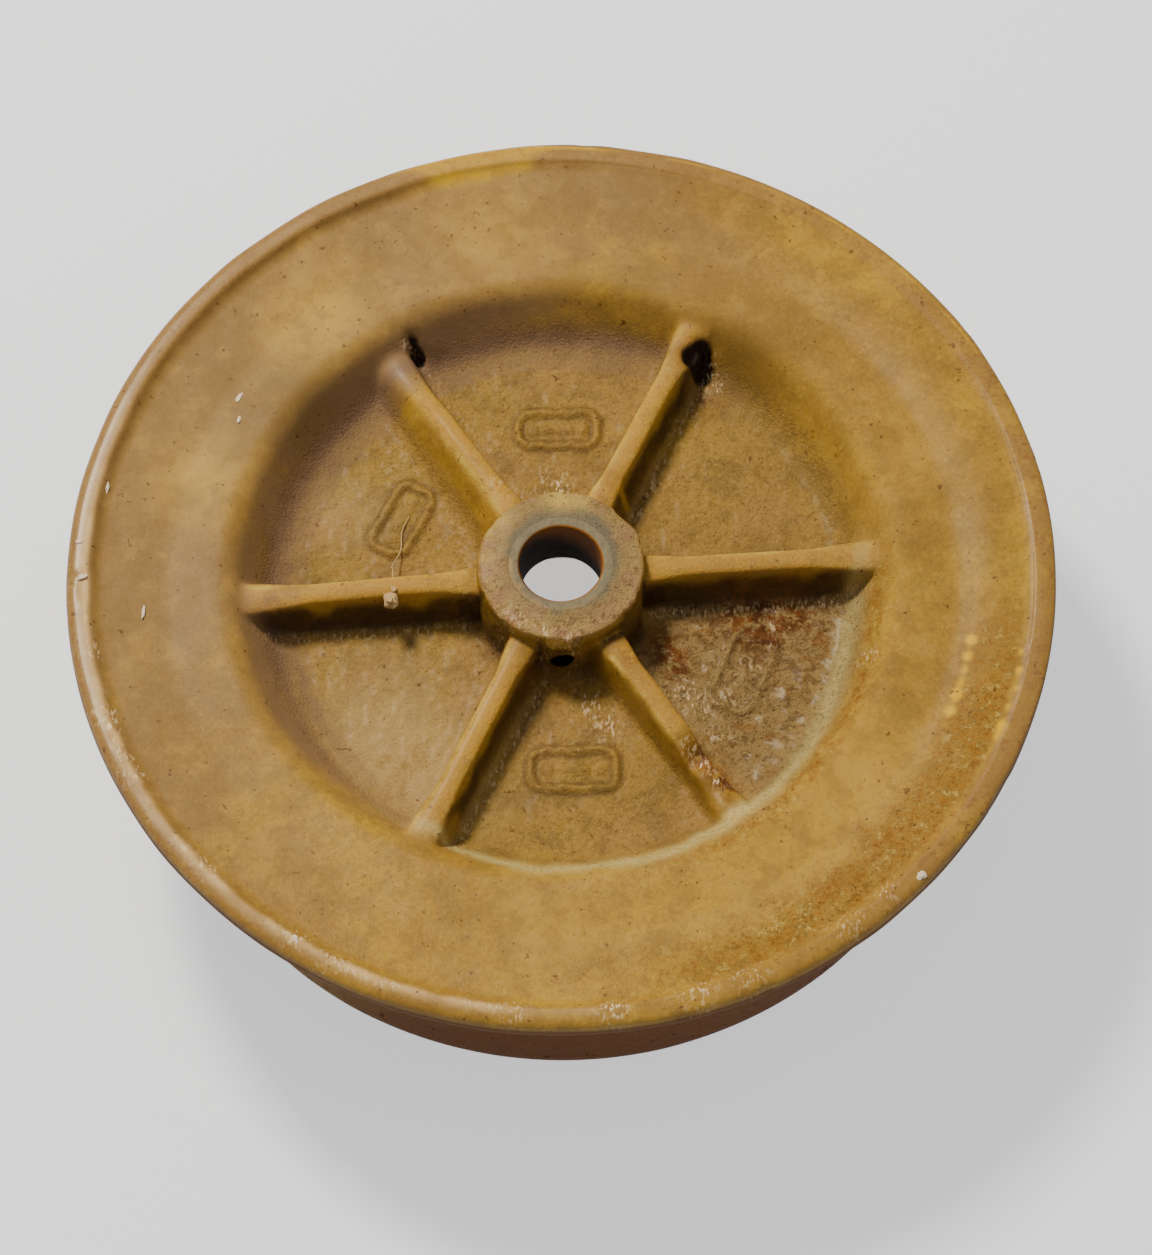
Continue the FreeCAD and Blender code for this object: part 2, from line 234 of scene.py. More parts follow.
def base_points():
    """The drum's half section turned about the axis; under the plate three lugs are pulled down
    to the rim as flat-ended posts; the outside is pushed in by low, broad casting unevenness."""
    foot_r = base_r + 0.1 * mm
    rows = half_section((
        (26.5 * mm, cup_under, 0.6 * mm, 2 * mm),
        (26.5 * mm, cup_floor, 0.6 * mm, 4 * mm),
        (cup_r, cup_floor, 0.4 * mm, 4 * mm),
        (cup_r, seat_z, 0.6 * mm, 4 * mm),
        (84 * mm, seat_z, 10 * mm, 3 * mm),
        (foot_r - 3.0 * mm, seat_z - 8 * mm, 7 * mm, 1.6 * mm),
        (foot_r, rim_z, 1.6 * mm, 2 * mm),
        (base_r - 5.5 * mm, rim_z, 1 * mm, 3 * mm),
        (base_r - 7.5 * mm, seat_z - 12.2 * mm, 5 * mm, 1.5 * mm),
        (82 * mm, plate_under, 4 * mm, 0.9 * mm),
        (cup_out, plate_under, 3 * mm, 3 * mm),
        (cup_out, cup_under, 1.5 * mm, 3 * mm),
    ))
    turn = np.linspace(0, 2 * np.pi, 480, endpoint=False)
    near = np.sin(3 * (turn - lug_angles[0]) + np.pi / 2)
    turn = turn - 0.16 * np.sin(3 * (turn - lug_angles[0])) * (0.75 + 0.25 * near)
    r, z = rows[:, :1], rows[:, 1:]
    x, y = r * np.cos(turn), r * np.sin(turn)
    z = z + 0 * x
    height = z.copy()
    ceiling = np.arange(len(rows)) > np.argmin(np.abs(rows - [base_r - 5.5 * mm, rim_z]).sum(1))
    ceiling = ceiling[:, None] & (r > cup_out + 1 * mm)
    for angle in lug_angles:
        away = np.hypot(x - lug_pos * math.cos(angle), y - lug_pos * math.sin(angle))
        post = rim_z + (away - lug_r) / 0.04
        post = np.maximum(post, rim_z)
        height = np.where(ceiling, np.minimum(height, post), height)
    p = np.stack([x, y, height], -1)
    outside = (r > 60 * mm) & (z > rim_z) & ~ceiling
    wave = value_noise(p, 38 * mm, 3) + 0.5 * value_noise(p, 11 * mm, 4)
    push = np.where(outside, (wave - 1.5) * 0.16 * mm, 0)
    push *= smooth_step(r + 0 * x, 60 * mm, 66 * mm)
    out = smooth_step(z, seat_z - 1 * mm, seat_z - 12 * mm)
    p[..., 0] += push * out * np.cos(turn)
    p[..., 1] += push * out * np.sin(turn)
    p[..., 2] += push * (1 - out)
    return p


base = closed_grid("base_drum", base_points())


def paint_over(tone, coats):
    """The tone with each coat, a mask and a colour, laid over it in turn."""
    for mask, colour in coats:
        tone = mask.over(tone, colour)
    return tone


def worn_paint(name, ochre, umber, dull):
    """Old gloss paint over cast iron: two paint tones in broad clouds, and fine mottling of dirt and
    of thin places. Returns the parts that a piece's own wear builds on."""
    made, shader, place = new_material(name)
    cloud = place.speckle(34 * mm, 4.0, 0.6).ease(0.4, 0.62)
    streak = place.speckle(7 * mm, 4.0, 0.62)
    fine = place.speckle(1.1 * mm, 4.0, 0.7)
    darker, paler = tuple(c * 0.5 for c in umber), tuple(c * 1.3 + 0.03 for c in ochre)
    tone = cloud.over(umber, ochre)
    tone = (streak.ease(0.46, 0.6) * 0.4).over(tone, dull)
    tone = (fine.ease(0.5, 0.64) * 0.3).over(tone, darker)
    tone = (fine.ease(0.47, 0.34) * 0.25).over(tone, paler)
    return made, shader, place, tone, fine


made, shader, place, tone, fine = worn_paint(
    "base_paint", (0.34, 0.20, 0.030), (0.25, 0.14, 0.025), (0.20, 0.12, 0.030)
)
across, ahead, height = place.parts()
# Painted shade: the drum's front and right, turned from the lamp, are darkened to deep brown.
painted_shade_front = across * 1.1 - ahead + (place.speckle(30 * mm, 3.0) - 0.5) * 90 * mm
tone = (painted_shade_front.ease(-40 * mm, 60 * mm) * 0.9).over(tone, (0.095, 0.026, 0.005))
# Darker towards the bottom of the drum.
low_darkening = (height + place.speckle(3 * mm, 4.0, 0.7) * 12 * mm).ease(10 * mm, 7 * mm)
tone = (low_darkening * 0.75).over(tone, (0.045, 0.022, 0.012))
slip = place.speckle(5 * mm, 5.0, 0.7).ease(0.6, 0.68) * height.ease(20 * mm, 36 * mm)
tone = (slip * 0.5).over(tone, (0.4, 0.3, 0.18))
spots = place.speckle(2.6 * mm, 3.0, 0.7).ease(0.62, 0.7)
tone = (spots * 0.8).over(tone, (0.05, 0.018, 0.008))
grain = fine * 0.5 + place.speckle(4 * mm, 2.0) * 0.5
connect(shader, Base_Color=tone, Roughness=spots * 0.3 + fine * 0.18 + 0.34)
connect(shader, Normal=bump(grain, 0.25 * mm))
connect(shader, Specular_IOR_Level=0.04)
base.data.materials.append(made)
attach(base, "base")
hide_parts("base_casting")

# ---- Rubber feet -------------------------------------------------------------------------------
# Three turned rubber buttons in sockets of the base's lugs. Their skin is matt, and chalky with
# clay dust.
made, shader, place = new_material("foot_rubber")
dust = place.speckle(3 * mm, 4.0, 0.65).ease(0.45, 0.75)
connect(shader, Base_Color=(dust * 0.5).over((0.022, 0.021, 0.02), (0.16, 0.14, 0.12)))
connect(shader, Roughness=0.55 + dust * 0.3, Normal=bump(place.speckle(0.6 * mm, 2.0), 0.08 * mm))
for name in ("foot_rear", "foot_left", "foot_right"):
    node[name].data.materials.clear()
    node[name].data.materials.append(made)

# ---- Foot screws, spindle screws, spring washers, snap ring and lock screw ----------------------
# Blackened steel fastenings, driven dry and since spotted with brown rust.
made, shader, place = new_material("screw_steel")
bloom = place.speckle(2.2 * mm, 4.0, 0.7).ease(0.5, 0.68)
connect(shader, Base_Color=bloom.over((0.2, 0.19, 0.18), (0.2, 0.085, 0.035)))
connect(shader, Metallic=1 - bloom * 0.85, Roughness=0.38 + bloom * 0.4)
connect(shader, Normal=bump(place.speckle(0.5 * mm, 3.0), 0.06 * mm))
for name in ("foot_screws", "spindle_screws", "spring_washers", "snap_ring", "hub_lock_screw"):
    node[name].data.materials.clear()
    node[name].data.materials.append(made)

# ---- Spindle -----------------------------------------------------------------------------------
# A hollow flanged spindle turned from steel bar. Fine rings are left by the lathe, under an
# oil-brown film.


def lathe_rings(place, pitch):
    """0 to 1 ridges round the axis and up it, one each pitch, slightly uneven."""
    x, y, z = place.parts()
    radius = (x * x + y * y) ** 0.5
    uneven = place.speckle(3 * mm, 2.0) * 2.0
    return place.math("SINE", (radius + z) * (2 * math.pi / pitch) + uneven) * 0.5 + 0.5


made, shader, place = new_material("machined_steel")
film = place.speckle(9 * mm, 4.0, 0.6).ease(0.4, 0.7)
connect(shader, Base_Color=film.over((0.46, 0.44, 0.41), (0.24, 0.18, 0.12)))
connect(shader, Metallic=1 - film * 0.3, Roughness=0.28 + film * 0.25)
connect(shader, Normal=bump(lathe_rings(place, 0.35 * mm), 0.012 * mm))
node["spindle"].data.materials.clear()
node["spindle"].data.materials.append(made)

# ---- Races and balls ---------------------------------------------------------------------------
# Two hardened washers, ground bright, with a rolled groove each, and the steel balls between them,
# in a thin film of dark grease.
made, shader, place = new_material("bearing_steel")
grease = place.speckle(5 * mm, 3.0).ease(0.5, 0.72)
connect(shader, Base_Color=grease.over((0.58, 0.58, 0.6), (0.18, 0.13, 0.08)))
connect(shader, Metallic=1 - grease * 0.5, Roughness=0.14 + grease * 0.2)
connect(shader, Normal=bump(lathe_rings(place, 0.22 * mm), 0.004 * mm))
for name in ("lower_race", "upper_race", "bearing_balls"):
    node[name].data.materials.clear()
    node[name].data.materials.append(made)

# ---- Cage, rivets and lock pad -----------------------------------------------------------------
# The balls' cage is two flat brass rings riveted together; the lock screw's pad is brass too.
# Both have gone brown in patches.
made, shader, place = new_material("brass")
tarnish = place.speckle(6 * mm, 4.0, 0.6).ease(0.4, 0.7)
connect(shader, Base_Color=tarnish.over((0.72, 0.5, 0.2), (0.33, 0.19, 0.07)))
connect(shader, Metallic=1.0, Roughness=0.25 + tarnish * 0.25)
connect(shader, Normal=bump(place.speckle(0.7 * mm, 3.0), 0.03 * mm))
for name in ("cage_upper_half", "cage_lower_half", "cage_rivets", "lock_pad"):
    node[name].data.materials.clear()
    node[name].data.materials.append(made)

# ---- Dust felt ---------------------------------------------------------------------------------
# A ring of pressed wool felt, glued in the base's groove, grey-brown with oil and clay dust. Its
# faces are slightly lumpy, and short fibres roughen them.
felt_low, felt_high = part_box("dust_felt")
felt_out = felt_high.x
felt_in = felt_out - 4 * mm


def felt_points():
    """A rounded rectangle turned about the axis, pulled in by two sizes of noise."""
    rows = half_section((
        (felt_in, felt_low.z, 0.4 * mm, 0.7 * mm),
        (felt_in, felt_high.z, 0.9 * mm, 0.7 * mm),
        (felt_out, felt_high.z, 0.9 * mm, 0.7 * mm),
        (felt_out, felt_low.z, 0.4 * mm, 0.7 * mm),
    ))
    turn = np.linspace(0, 2 * np.pi, 420, endpoint=False)
    x, y = rows[:, :1] * np.cos(turn), rows[:, :1] * np.sin(turn)
    p = np.stack([x, y, rows[:, 1:] + 0 * x], -1)
    lump = 0.6 * value_noise(p, 7 * mm, 11) + 0.4 * value_noise(p, 1.6 * mm, 12) - 1
    middle = (felt_in + felt_out) / 2
    side = np.sign(rows[:, :1] - middle) * lump * 0.14 * mm
    p[..., 0] += side * np.cos(turn)
    p[..., 1] += side * np.sin(turn)
    return p


felt = closed_grid("felt_ring", felt_points())
made, shader, place = new_material("felt")
fluff = place.speckle(0.8 * mm, 6.0, 0.8)
smudge = place.speckle(12 * mm, 3.0).ease(0.4, 0.7)
connect(shader, Base_Color=smudge.over((0.2, 0.18, 0.15), (0.1, 0.075, 0.05)))
connect(shader, Roughness=0.95, Normal=bump(fluff, 0.5 * mm), Sheen_Weight=0.4)
felt.data.materials.append(made)
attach(felt, "base")
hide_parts("dust_felt")

# ---- Wheel head --------------------------------------------------------------------------------
# One sand-cast iron wheel: a hub with a through bore, a grainy web with six crowned ribs and four
# raised cartouches, a smooth shallow dish and a rolled lip, with a boss below for the spindle.
# Many coats of ochre gloss paint, worn to brown on the lip and rusted in the corners.
# Light and shade are painted into its colour too: shade beside the ribs, in the pits and holes, on the far
# and left walls and under the lip; glints, sheen, lamp reflections and pools of light on the web, dish and
# lip.
wheel_low, wheel_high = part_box("wheel_head")
rim_r, top = wheel_high.x, wheel_high.z
web_z = top - 16.5 * mm
web_under = web_z - 4.2 * mm
hub_r = 19.05 * mm
shoulder_r = 0.665 * rim_r
lip_in = rim_r - 5.7 * mm
rib_turn = np.radians(3.4 + 60 * np.arange(6))
rib_edge = 2.4 * mm
slack_rib, chipped_rib = 2, 5


def wheel_section():
    """The wheel's half section, from the top of the bore over the top and back underneath."""
    return half_section((
        (12.0 * mm, top, 0, 1.2 * mm),
        (12.05 * mm, top, 0, 1.2 * mm),
        (hub_r, top, 1.3 * mm, 1.0 * mm),
        (hub_r + 1.4 * mm, web_z, 3.0 * mm, 0.62 * mm),
        (66.4 * mm, web_z, 9.0 * mm, 1.3 * mm),
        (shoulder_r, top - 3.0 * mm, 7.0 * mm, 2.0 * mm),
        (0.8 * rim_r, top - 3.4 * mm, 30.0 * mm, 2.4 * mm),
        (lip_in - 1.2 * mm, top - 2.1 * mm, 4.0 * mm, 0.9 * mm),
        (lip_in + 0.8 * mm, top, 1.6 * mm, 1.2 * mm),
        (rim_r, top, 2.5 * mm, 1.2 * mm),
        (rim_r, top - 5.4 * mm, 2.0 * mm, 1.6 * mm),
        (lip_in - 1.5 * mm, top - 5.6 * mm, 3.0 * mm, 4.0 * mm),
        (0.8 * rim_r, top - 7.6 * mm, 20.0 * mm, 3.0 * mm),
        (shoulder_r + 3.8 * mm, top - 7.2 * mm, 4.0 * mm, 2.5 * mm),
        (69.0 * mm, web_under, 4.0 * mm, 5.0 * mm),
        (34.6 * mm, web_under, 1.0 * mm, 4.5 * mm),
        (34.6 * mm, wheel_low.z, 0.8 * mm, 3.2 * mm),
        (28.05 * mm, wheel_low.z, 0, 6.0 * mm),
        (28.05 * mm, web_under, 0, 6.0 * mm),
        (12.0 * mm, web_under, 0, 5.0 * mm),
    ))


def column_turns(r):
    """Directions of the columns at each radius r. Beside a rib they run parallel to it, so that its
    sides stay crisp; between ribs they are even; towards the lip they become even all round."""
    inner = np.array([0, 0.3, 0.55, 0.75, 0.9, 1.0]) * rib_edge
    outer = rib_edge + np.array([0.3, 0.6, 0.9, 1.25, 1.7, 2.3, 3.1, 4.2]) * mm
    offset = np.concatenate([inner, outer])
    reach = np.clip(r, hub_r, 80 * mm)[:, None]
    beside = np.arcsin(offset / reach)
    share = (np.arange(1, 36) / 35)[None]
    between = beside[:, -1:] + (math.pi / 6 - beside[:, -1:]) * share
    side = np.concatenate([beside, between], axis=1)
    sector = np.concatenate([-side[:, -2:0:-1], side], axis=1)
    turns = (rib_turn[:, None] + sector[:, None, :]).reshape(len(r), -1)
    even = np.linspace(turns[:, 0], turns[:, 0] + 2 * np.pi, turns.shape[1], endpoint=False).T
    even = even + (turns.mean(axis=1) - even.mean(axis=1))[:, None]
    mix = smooth_step(r, 80 * mm, 104 * mm)[:, None]
    return turns * (1 - mix) + even * mix


def soft_hinge(x, width):
    """0 well below 0 and x well above it, with a bend of that width."""
    return (x + np.sqrt(x * x + width * width)) / 2


def soft_max(a, b, width):
    """The larger of a and b, with the corner between them filled by a small fillet."""
    return b + soft_hinge(a - b, width)


def bell(x, centre, width):
    """1 at the centre, easing to 0 over about that width on both sides."""
    return np.exp(-(((x - centre) / width) ** 2))


def window(x, start, full, hold, end):
    """0 outside start to end, 1 from full to hold, eased between."""
    return smooth_step(x, start, full) * smooth_step(x, end, hold)


def rib_height(x, y, waver, chips):
    """Height of the six ribs above the web. Across a rib: steep drafted sides with a wide fillet at
    the foot and a crowned top. Along it: the crest sinks outwards. One rib has a slack left side
    and a low outer end, and one is chipped near the recess wall. Two noises make it uneven."""
    tallest = np.zeros_like(x)
    for i, angle in enumerate(rib_turn):
        along = x * math.cos(angle) + y * math.sin(angle)
        across = -x * math.sin(angle) + y * math.cos(angle) + waver * 0.3 * mm
        crest = (top - web_z) - 4.6 * mm - 1.0 * mm * smooth_step(along, hub_r, shoulder_r)
        crest = crest + waver * 0.25 * mm
        draft = 0.16
        if i == slack_rib:
            crest = crest - 3.0 * mm * smooth_step(along, 48 * mm, 68 * mm)
            draft = 0.16 + 0.3 * smooth_step(across, 0, 2 * mm)
        if i == chipped_rib:
            gap = window(along, 47 * mm, 55 * mm, 68 * mm, 75 * mm)
            crest = crest - gap * (3.6 * mm + chips * 1.4 * mm)
        flare = 1.5 * mm * smooth_step(along, 56 * mm, 72 * mm)
        flare = flare + 1.0 * mm * smooth_step(along, 30 * mm, 20 * mm)
        foot = rib_edge + flare + draft * crest
        side = soft_hinge((foot - np.abs(across)) / draft, 3.4 * mm)
        crown = crest - 0.35 * mm * (across / rib_edge) ** 2
        height = crown - soft_hinge(crown - side, 1.5 * mm)
        height = height * smooth_step(along, 0, 10 * mm)
        tallest = np.maximum(tallest, height)
    return tallest


cartouches = (
    (43.8 * mm, 90.3, 9.75 * mm, 4.8 * mm, 0.0),
    (42.5 * mm, 151.2, 9.5 * mm, 4.8 * mm, 62.0),
    (44.7 * mm, 272.6, 10.2 * mm, 5.2 * mm, 0.0),
    (46.5 * mm, 335.0, 11.5 * mm, 5.5 * mm, 66.0),
)


def cartouche_height(x, y):
    """Raised frames on the web, 0 to 1: a rounded-rectangle line, a short bar and two studs inside,
    all with melted edges. Also where the web is darkened, 0 to 1: close round the line."""
    total = np.zeros_like(x)
    darkened = np.zeros_like(x)
    for radius, direction, half_l, half_w, turn in cartouches:
        a, t = math.radians(direction), math.radians(turn)
        dx, dy = x - radius * math.cos(a), y - radius * math.sin(a)
        u = dx * math.cos(t) + dy * math.sin(t)
        v = -dx * math.sin(t) + dy * math.cos(t)
        corner = 0.7 * half_w
        qx, qy = np.abs(u) - half_l + corner, np.abs(v) - half_w + corner
        away = np.hypot(np.maximum(qx, 0), np.maximum(qy, 0)) + np.minimum(np.maximum(qx, qy), 0)
        line = smooth_step(np.abs(away - corner + 0.4 * mm), 1.15 * mm, 0.25 * mm)
        bar = smooth_step(np.hypot(np.maximum(np.abs(u) - 0.3 * half_l, 0), v), 1.4 * mm, 0.5 * mm)
        stud = smooth_step(np.hypot(np.abs(u) - 0.6 * half_l, v), 1.9 * mm, 0.9 * mm)
        total = np.maximum(total, np.maximum(line, 0.75 * np.maximum(bar, stud)))
        beside = bell(np.abs(away - corner + 0.4 * mm), 1.3 * mm, 0.6 * mm)
        darkened = np.maximum(darkened, beside * (1 - total))
    return total, darkened


def blobs(x, y, spots):
    """Sum of soft round spots: each is (x, y, radius) in millimetres and a strength."""
    total = np.zeros_like(x)
    for sx, sy, size, strength in spots:
        away = np.hypot(x - sx * mm, y - sy * mm) / (size * mm)
        total += strength * np.exp(-away * away)
    return total


rows = wheel_section()
turns = column_turns(rows[:, 0])
r = rows[:, :1] + 0 * turns
z0 = rows[:, 1:] + 0 * turns
x, y = r * np.cos(turns), r * np.sin(turns)
angle = np.degrees(np.arctan2(y, x))
flat = np.stack([x, y, z0], -1)
last_upper = np.argmax(rows[:, 0] > rim_r - 0.01 * mm)
upper = (np.arange(len(rows)) <= last_upper)[:, None] & np.ones_like(x, bool)
broad = value_noise(flat, 42 * mm, 21)
middle = value_noise(flat, 13 * mm, 22)
small = value_noise(flat, 4.5 * mm, 23)
grit = value_noise(flat, 1.7 * mm, 24)
scab = value_noise(flat, 2.6 * mm, 27)

# The ribs and cartouches, and the parts of the surface.
ribs = rib_height(x, y, value_noise(flat, 16 * mm, 25), small)
marks, marks_darkened = cartouche_height(x + 0.4 * mm * small, y + 0.4 * mm * grit)
in_recess = window(r, hub_r - 0.5 * mm, hub_r + 1 * mm, 70 * mm, 76 * mm) * upper
floor_part = in_recess * smooth_step(z0, web_z + 9 * mm, web_z + 2 * mm)
floor_only = floor_part * (1 - smooth_step(ribs, 1.2 * mm, 4 * mm))
hub_top = smooth_step(r, hub_r + 1 * mm, hub_r - 1 * mm) * upper
near_ribs = upper & (r > hub_r - 0.2 * mm) & (r < 80 * mm)
z = np.where(near_ribs, soft_max(z0, web_z + ribs, 1.0 * mm), z0)
z = z + marks * 0.85 * mm * floor_only

# Blowholes at the ends of two ribs, and small ones elsewhere; the material fills them with painted shade.
pits = blobs(x, y, (
    (32.4, 58.0, 2.6, 1.0), (34.4, 60.6, 2.0, 0.9), (36.0, 57.0, 1.8, 0.6), (-33.4, 62.0, 1.5, 0.9),
    (-34.4, 64.6, 1.2, 0.6), (65.6, -5.8, 0.7, 0.7), (-40.1, 100.2, 1.1, 0.25),
)) * (1 + 0.35 * small + 0.3 * grit)
z = z - np.clip(pits, 0, 1.1) * 3.6 * mm * smooth_step(r, 106 * mm, 100 * mm) * upper

# How far the casting's skin is sunk: all over, on the web, on the hub's end and its near edge.
sink = (0.28 * (1 - broad) + 0.16 * (1 - middle) + 0.03 * (1 - small)) * mm
sink = sink + in_recess * (0.12 * middle + 0.05 * small) * mm
sink = sink + floor_only * (0.2 * small + 0.17 * grit) * mm
sink = sink + hub_top * (0.22 * (1 + small) + 0.1 * grit) * mm
hub_near = hub_top * smooth_step(y, -10 * mm, -17 * mm)
sink = sink + hub_near * smooth_step(grit + small, 0.1, 0.7) * 0.5 * mm

# Flaked paint in strokes on one panel of the web.
scale = window(angle, -54, -46, -5, 1) * floor_only
scale = scale * smooth_step(r, 20 * mm, 28 * mm)
slant = math.radians(-42)
stroke_x = (x * math.cos(slant) + y * math.sin(slant)) / 3
stroke_y = y * math.cos(slant) - x * math.sin(slant)
stroke = 1 - np.abs(value_noise(np.stack([stroke_x, stroke_y, z0], -1), 3.0 * mm, 28)) * 2.2
sink = sink + scale * (0.38 * (1 - stroke) + 0.25 * middle) * mm

# Crusted paint in a crescent beside the lip and along the recess's near edge.
edge_turns = (-135, -110, -97, -63, -50, -36, -20, -6, 4, 16)
edge_radii = (69, 70.6, 72.6, 72.0, 70.6, 69.8, 67.8, 67.4, 70, 73)
edge_r = np.interp(angle, edge_turns, edge_radii) * mm
crud = smooth_step(r + 4 * mm * small, 93 * mm, 100 * mm) * smooth_step(r, lip_in, lip_in - 2 * mm)
crud = crud * smooth_step(angle, -98, -60) * smooth_step(angle, 2, -22)
near_edge = bell(r + 1.5 * mm * small - edge_r, 4.6 * mm, 2.8 * mm)
near_edge = near_edge * smooth_step(angle, -100, -50) * smooth_step(angle, 12, -10)
crud = np.maximum(crud, near_edge) * upper
sink = sink + crud * (0.2 * scab + 0.14 * grit) * mm

# Dents in the lip, and the dish filled up nearly flush with it on the right.
chip = smooth_step(middle + 0.5 * small, 0.6, 1.1) * smooth_step(r, lip_in - 1 * mm, lip_in + 1 * mm)
unevenness = np.where(upper, 1.0, smooth_step(r, 70 * mm, 76 * mm))
bore_free = smooth_step(r, 12.2 * mm, 18 * mm)
z = z - (sink + chip * 0.45 * mm) * unevenness * bore_free
flush = smooth_step(x + 0.6 * y, 15 * mm, 85 * mm) * smooth_step(r, 90 * mm, 106 * mm) * upper
flush = flush * smooth_step(top - z, 0.7 * mm, 1.4 * mm)
z = z + flush * 0.55 * (top - 0.6 * mm - z)

# The hub's lumpy side, with a ledge above the side hole, and the rim's unevenness.
hub_side = smooth_step(r, 17 * mm, 18.6 * mm) * smooth_step(r, 30 * mm, 23 * mm)
hub_side = hub_side * smooth_step(ribs, 5 * mm, 1 * mm)
hub_wave = 0.55 * middle + 0.5 * small + 0.15 * grit
ledge = smooth_step(np.abs(x - 0.5 * mm) + 0.8 * mm * small, 4.2 * mm, 3.0 * mm)
ledge = ledge * (y < 0) * (r < 26 * mm)
ledge = ledge * window(z0, top - 3.8 * mm, top - 3.0 * mm, top - 1.8 * mm, top - 1.0 * mm)
pull = (0.25 * (1 - value_noise(flat, 60 * mm, 26)) + 0.16 * (1 - middle) + 0.4 * chip) * mm
pull = pull * smooth_step(r, 90 * mm, 112 * mm)
pull = pull - (hub_side * hub_wave + ledge * hub_side * 1.15) * mm * upper
new_r = r - pull * unevenness
wheel_points = np.stack([new_r * np.cos(turns), new_r * np.sin(turns), np.minimum(z, top)], -1)
wheel = closed_grid("wheel_casting", wheel_points)

# Marks beside each rib: painted shade on its side turned from the lamp, a painted highlight at that side's
# foot, and a light line of wear and painted highlight along its other edge.
painted_lee_shade = np.zeros_like(x)
rib_foot_highlight = np.zeros_like(x)
rib_edge_wear_and_highlight = np.zeros_like(x)
for turn in rib_turn:
    along = x * math.cos(turn) + y * math.sin(turn)
    off = (x * math.sin(turn) - y * math.cos(turn)) * math.copysign(1, math.cos(turn - 0.6))
    off = off + 0.5 * mm * small
    turned_from_lamp = 0.25 + 0.75 * abs(math.sin(turn - math.radians(125)))
    reach = window(along, 13 * mm, 16 * mm, 66 * mm, 75 * mm)
    flank_width = 6.6 * mm if abs(math.sin(turn)) < 0.3 else 5.2 * mm
    flank = window(off, 2.5 * mm, 3.3 * mm, flank_width - 2 * mm, flank_width)
    painted_lee_shade = np.maximum(painted_lee_shade, flank * reach * turned_from_lamp)
    # Painted highlight: a band at the foot of the shaded side.
    foot = bell(off, 6.8 * mm, 1.1 * mm) * (1.0 if turn < 0.1 else 0.55)
    rib_foot_highlight = np.maximum(rib_foot_highlight, foot * reach * turned_from_lamp)
    # A light line along the lit edge: paint wear and a painted highlight.
    worn_and_lit = bell(off, -2.6 * mm, 0.8 * mm) * window(along, 18 * mm, 24 * mm, 68 * mm, 78 * mm)
    rib_edge_wear_and_highlight = np.maximum(rib_edge_wear_and_highlight, worn_and_lit)

# Marks of the recess: crests, painted shade in the corners, on the far wall and in the seam at its foot,
# and the floor's paint.
high = smooth_step(ribs / (top - web_z), 0.5, 0.66) * in_recess
hub_rim = smooth_step(np.abs(r - hub_r), 2.0 * mm, 0.4 * mm) * smooth_step(z0, top - 3 * mm, top)
hub_rim = hub_rim * smooth_step(y, -6 * mm, 4 * mm)
# Painted shade at the foot of the hub's near side.
hub_foot_shade = smooth_step(r, 25.6 * mm, 20.3 * mm) * smooth_step(y, 12 * mm, -14 * mm)
hub_foot_shade = hub_foot_shade * smooth_step(z0, top - 1.3 * mm, top - 3.6 * mm) * (0.66 + 0.3 * small)
# Painted shade along the hub's near top edge.
hub_edge_shade = bell(r + 0.5 * mm * grit, 19.0 * mm, 0.7 * mm) * smooth_step(y, -4 * mm, -14 * mm)
hub_edge_shade = hub_edge_shade * smooth_step(small, -0.6, 0.2)
# Painted shade at the foot of the far wall, which faces from the lamp, and in the seam along the left
# wall's foot.
wall_line = bell(z0 - web_z, 2.0 * mm, 2.2 * mm) * (r > 60 * mm)
far_side = smooth_step(y - 0.9 * x, -5 * mm, 55 * mm)
seam_shade = bell(r + 1.0 * mm * small, 64 * mm, 1.8 * mm) * smooth_step(y - 2 * x, 0, 90 * mm)
# Painted shade: the left recess wall, turned from the lamp, is greyed and darkened.
left_wall_band = window(r, 65 * mm, 68.5 * mm, 72 * mm, 77 * mm) * smooth_step(-x + 0.35 * y, -10 * mm, 50 * mm)
# Painted light: lighter pools on the web floor beside the left ribs.
lit_floor_spots = ((-40, -36, 17, 1.0), (-50, 22, 10, 0.5), (-28, -48, 12, 0.6))
rust_spots = (
    (23, -12, 3.5, 1.0), (25, -16, 3.5, 1.0), (27, -20, 3.2, 0.9), (40, -6, 5, 0.9), (46, -6, 5, 0.9),
    (52, -6, 5, 0.9), (58, -7, 4, 0.7), (49, -11, 4, 0.8), (33, -9, 4, 0.5), (31, -44, 3.2, 0.9),
    (34, -48, 3.2, 1.0), (37, -52, 3.2, 1.0), (37, 51, 4, 0.4), (-9, -24, 4, 0.4), (12, 25, 3, 0.4),
    (44, -16, 5, 0.5), (54, -24, 5, 0.4), (15, -22, 4, 0.5), (0, -24, 4, 0.5),
)
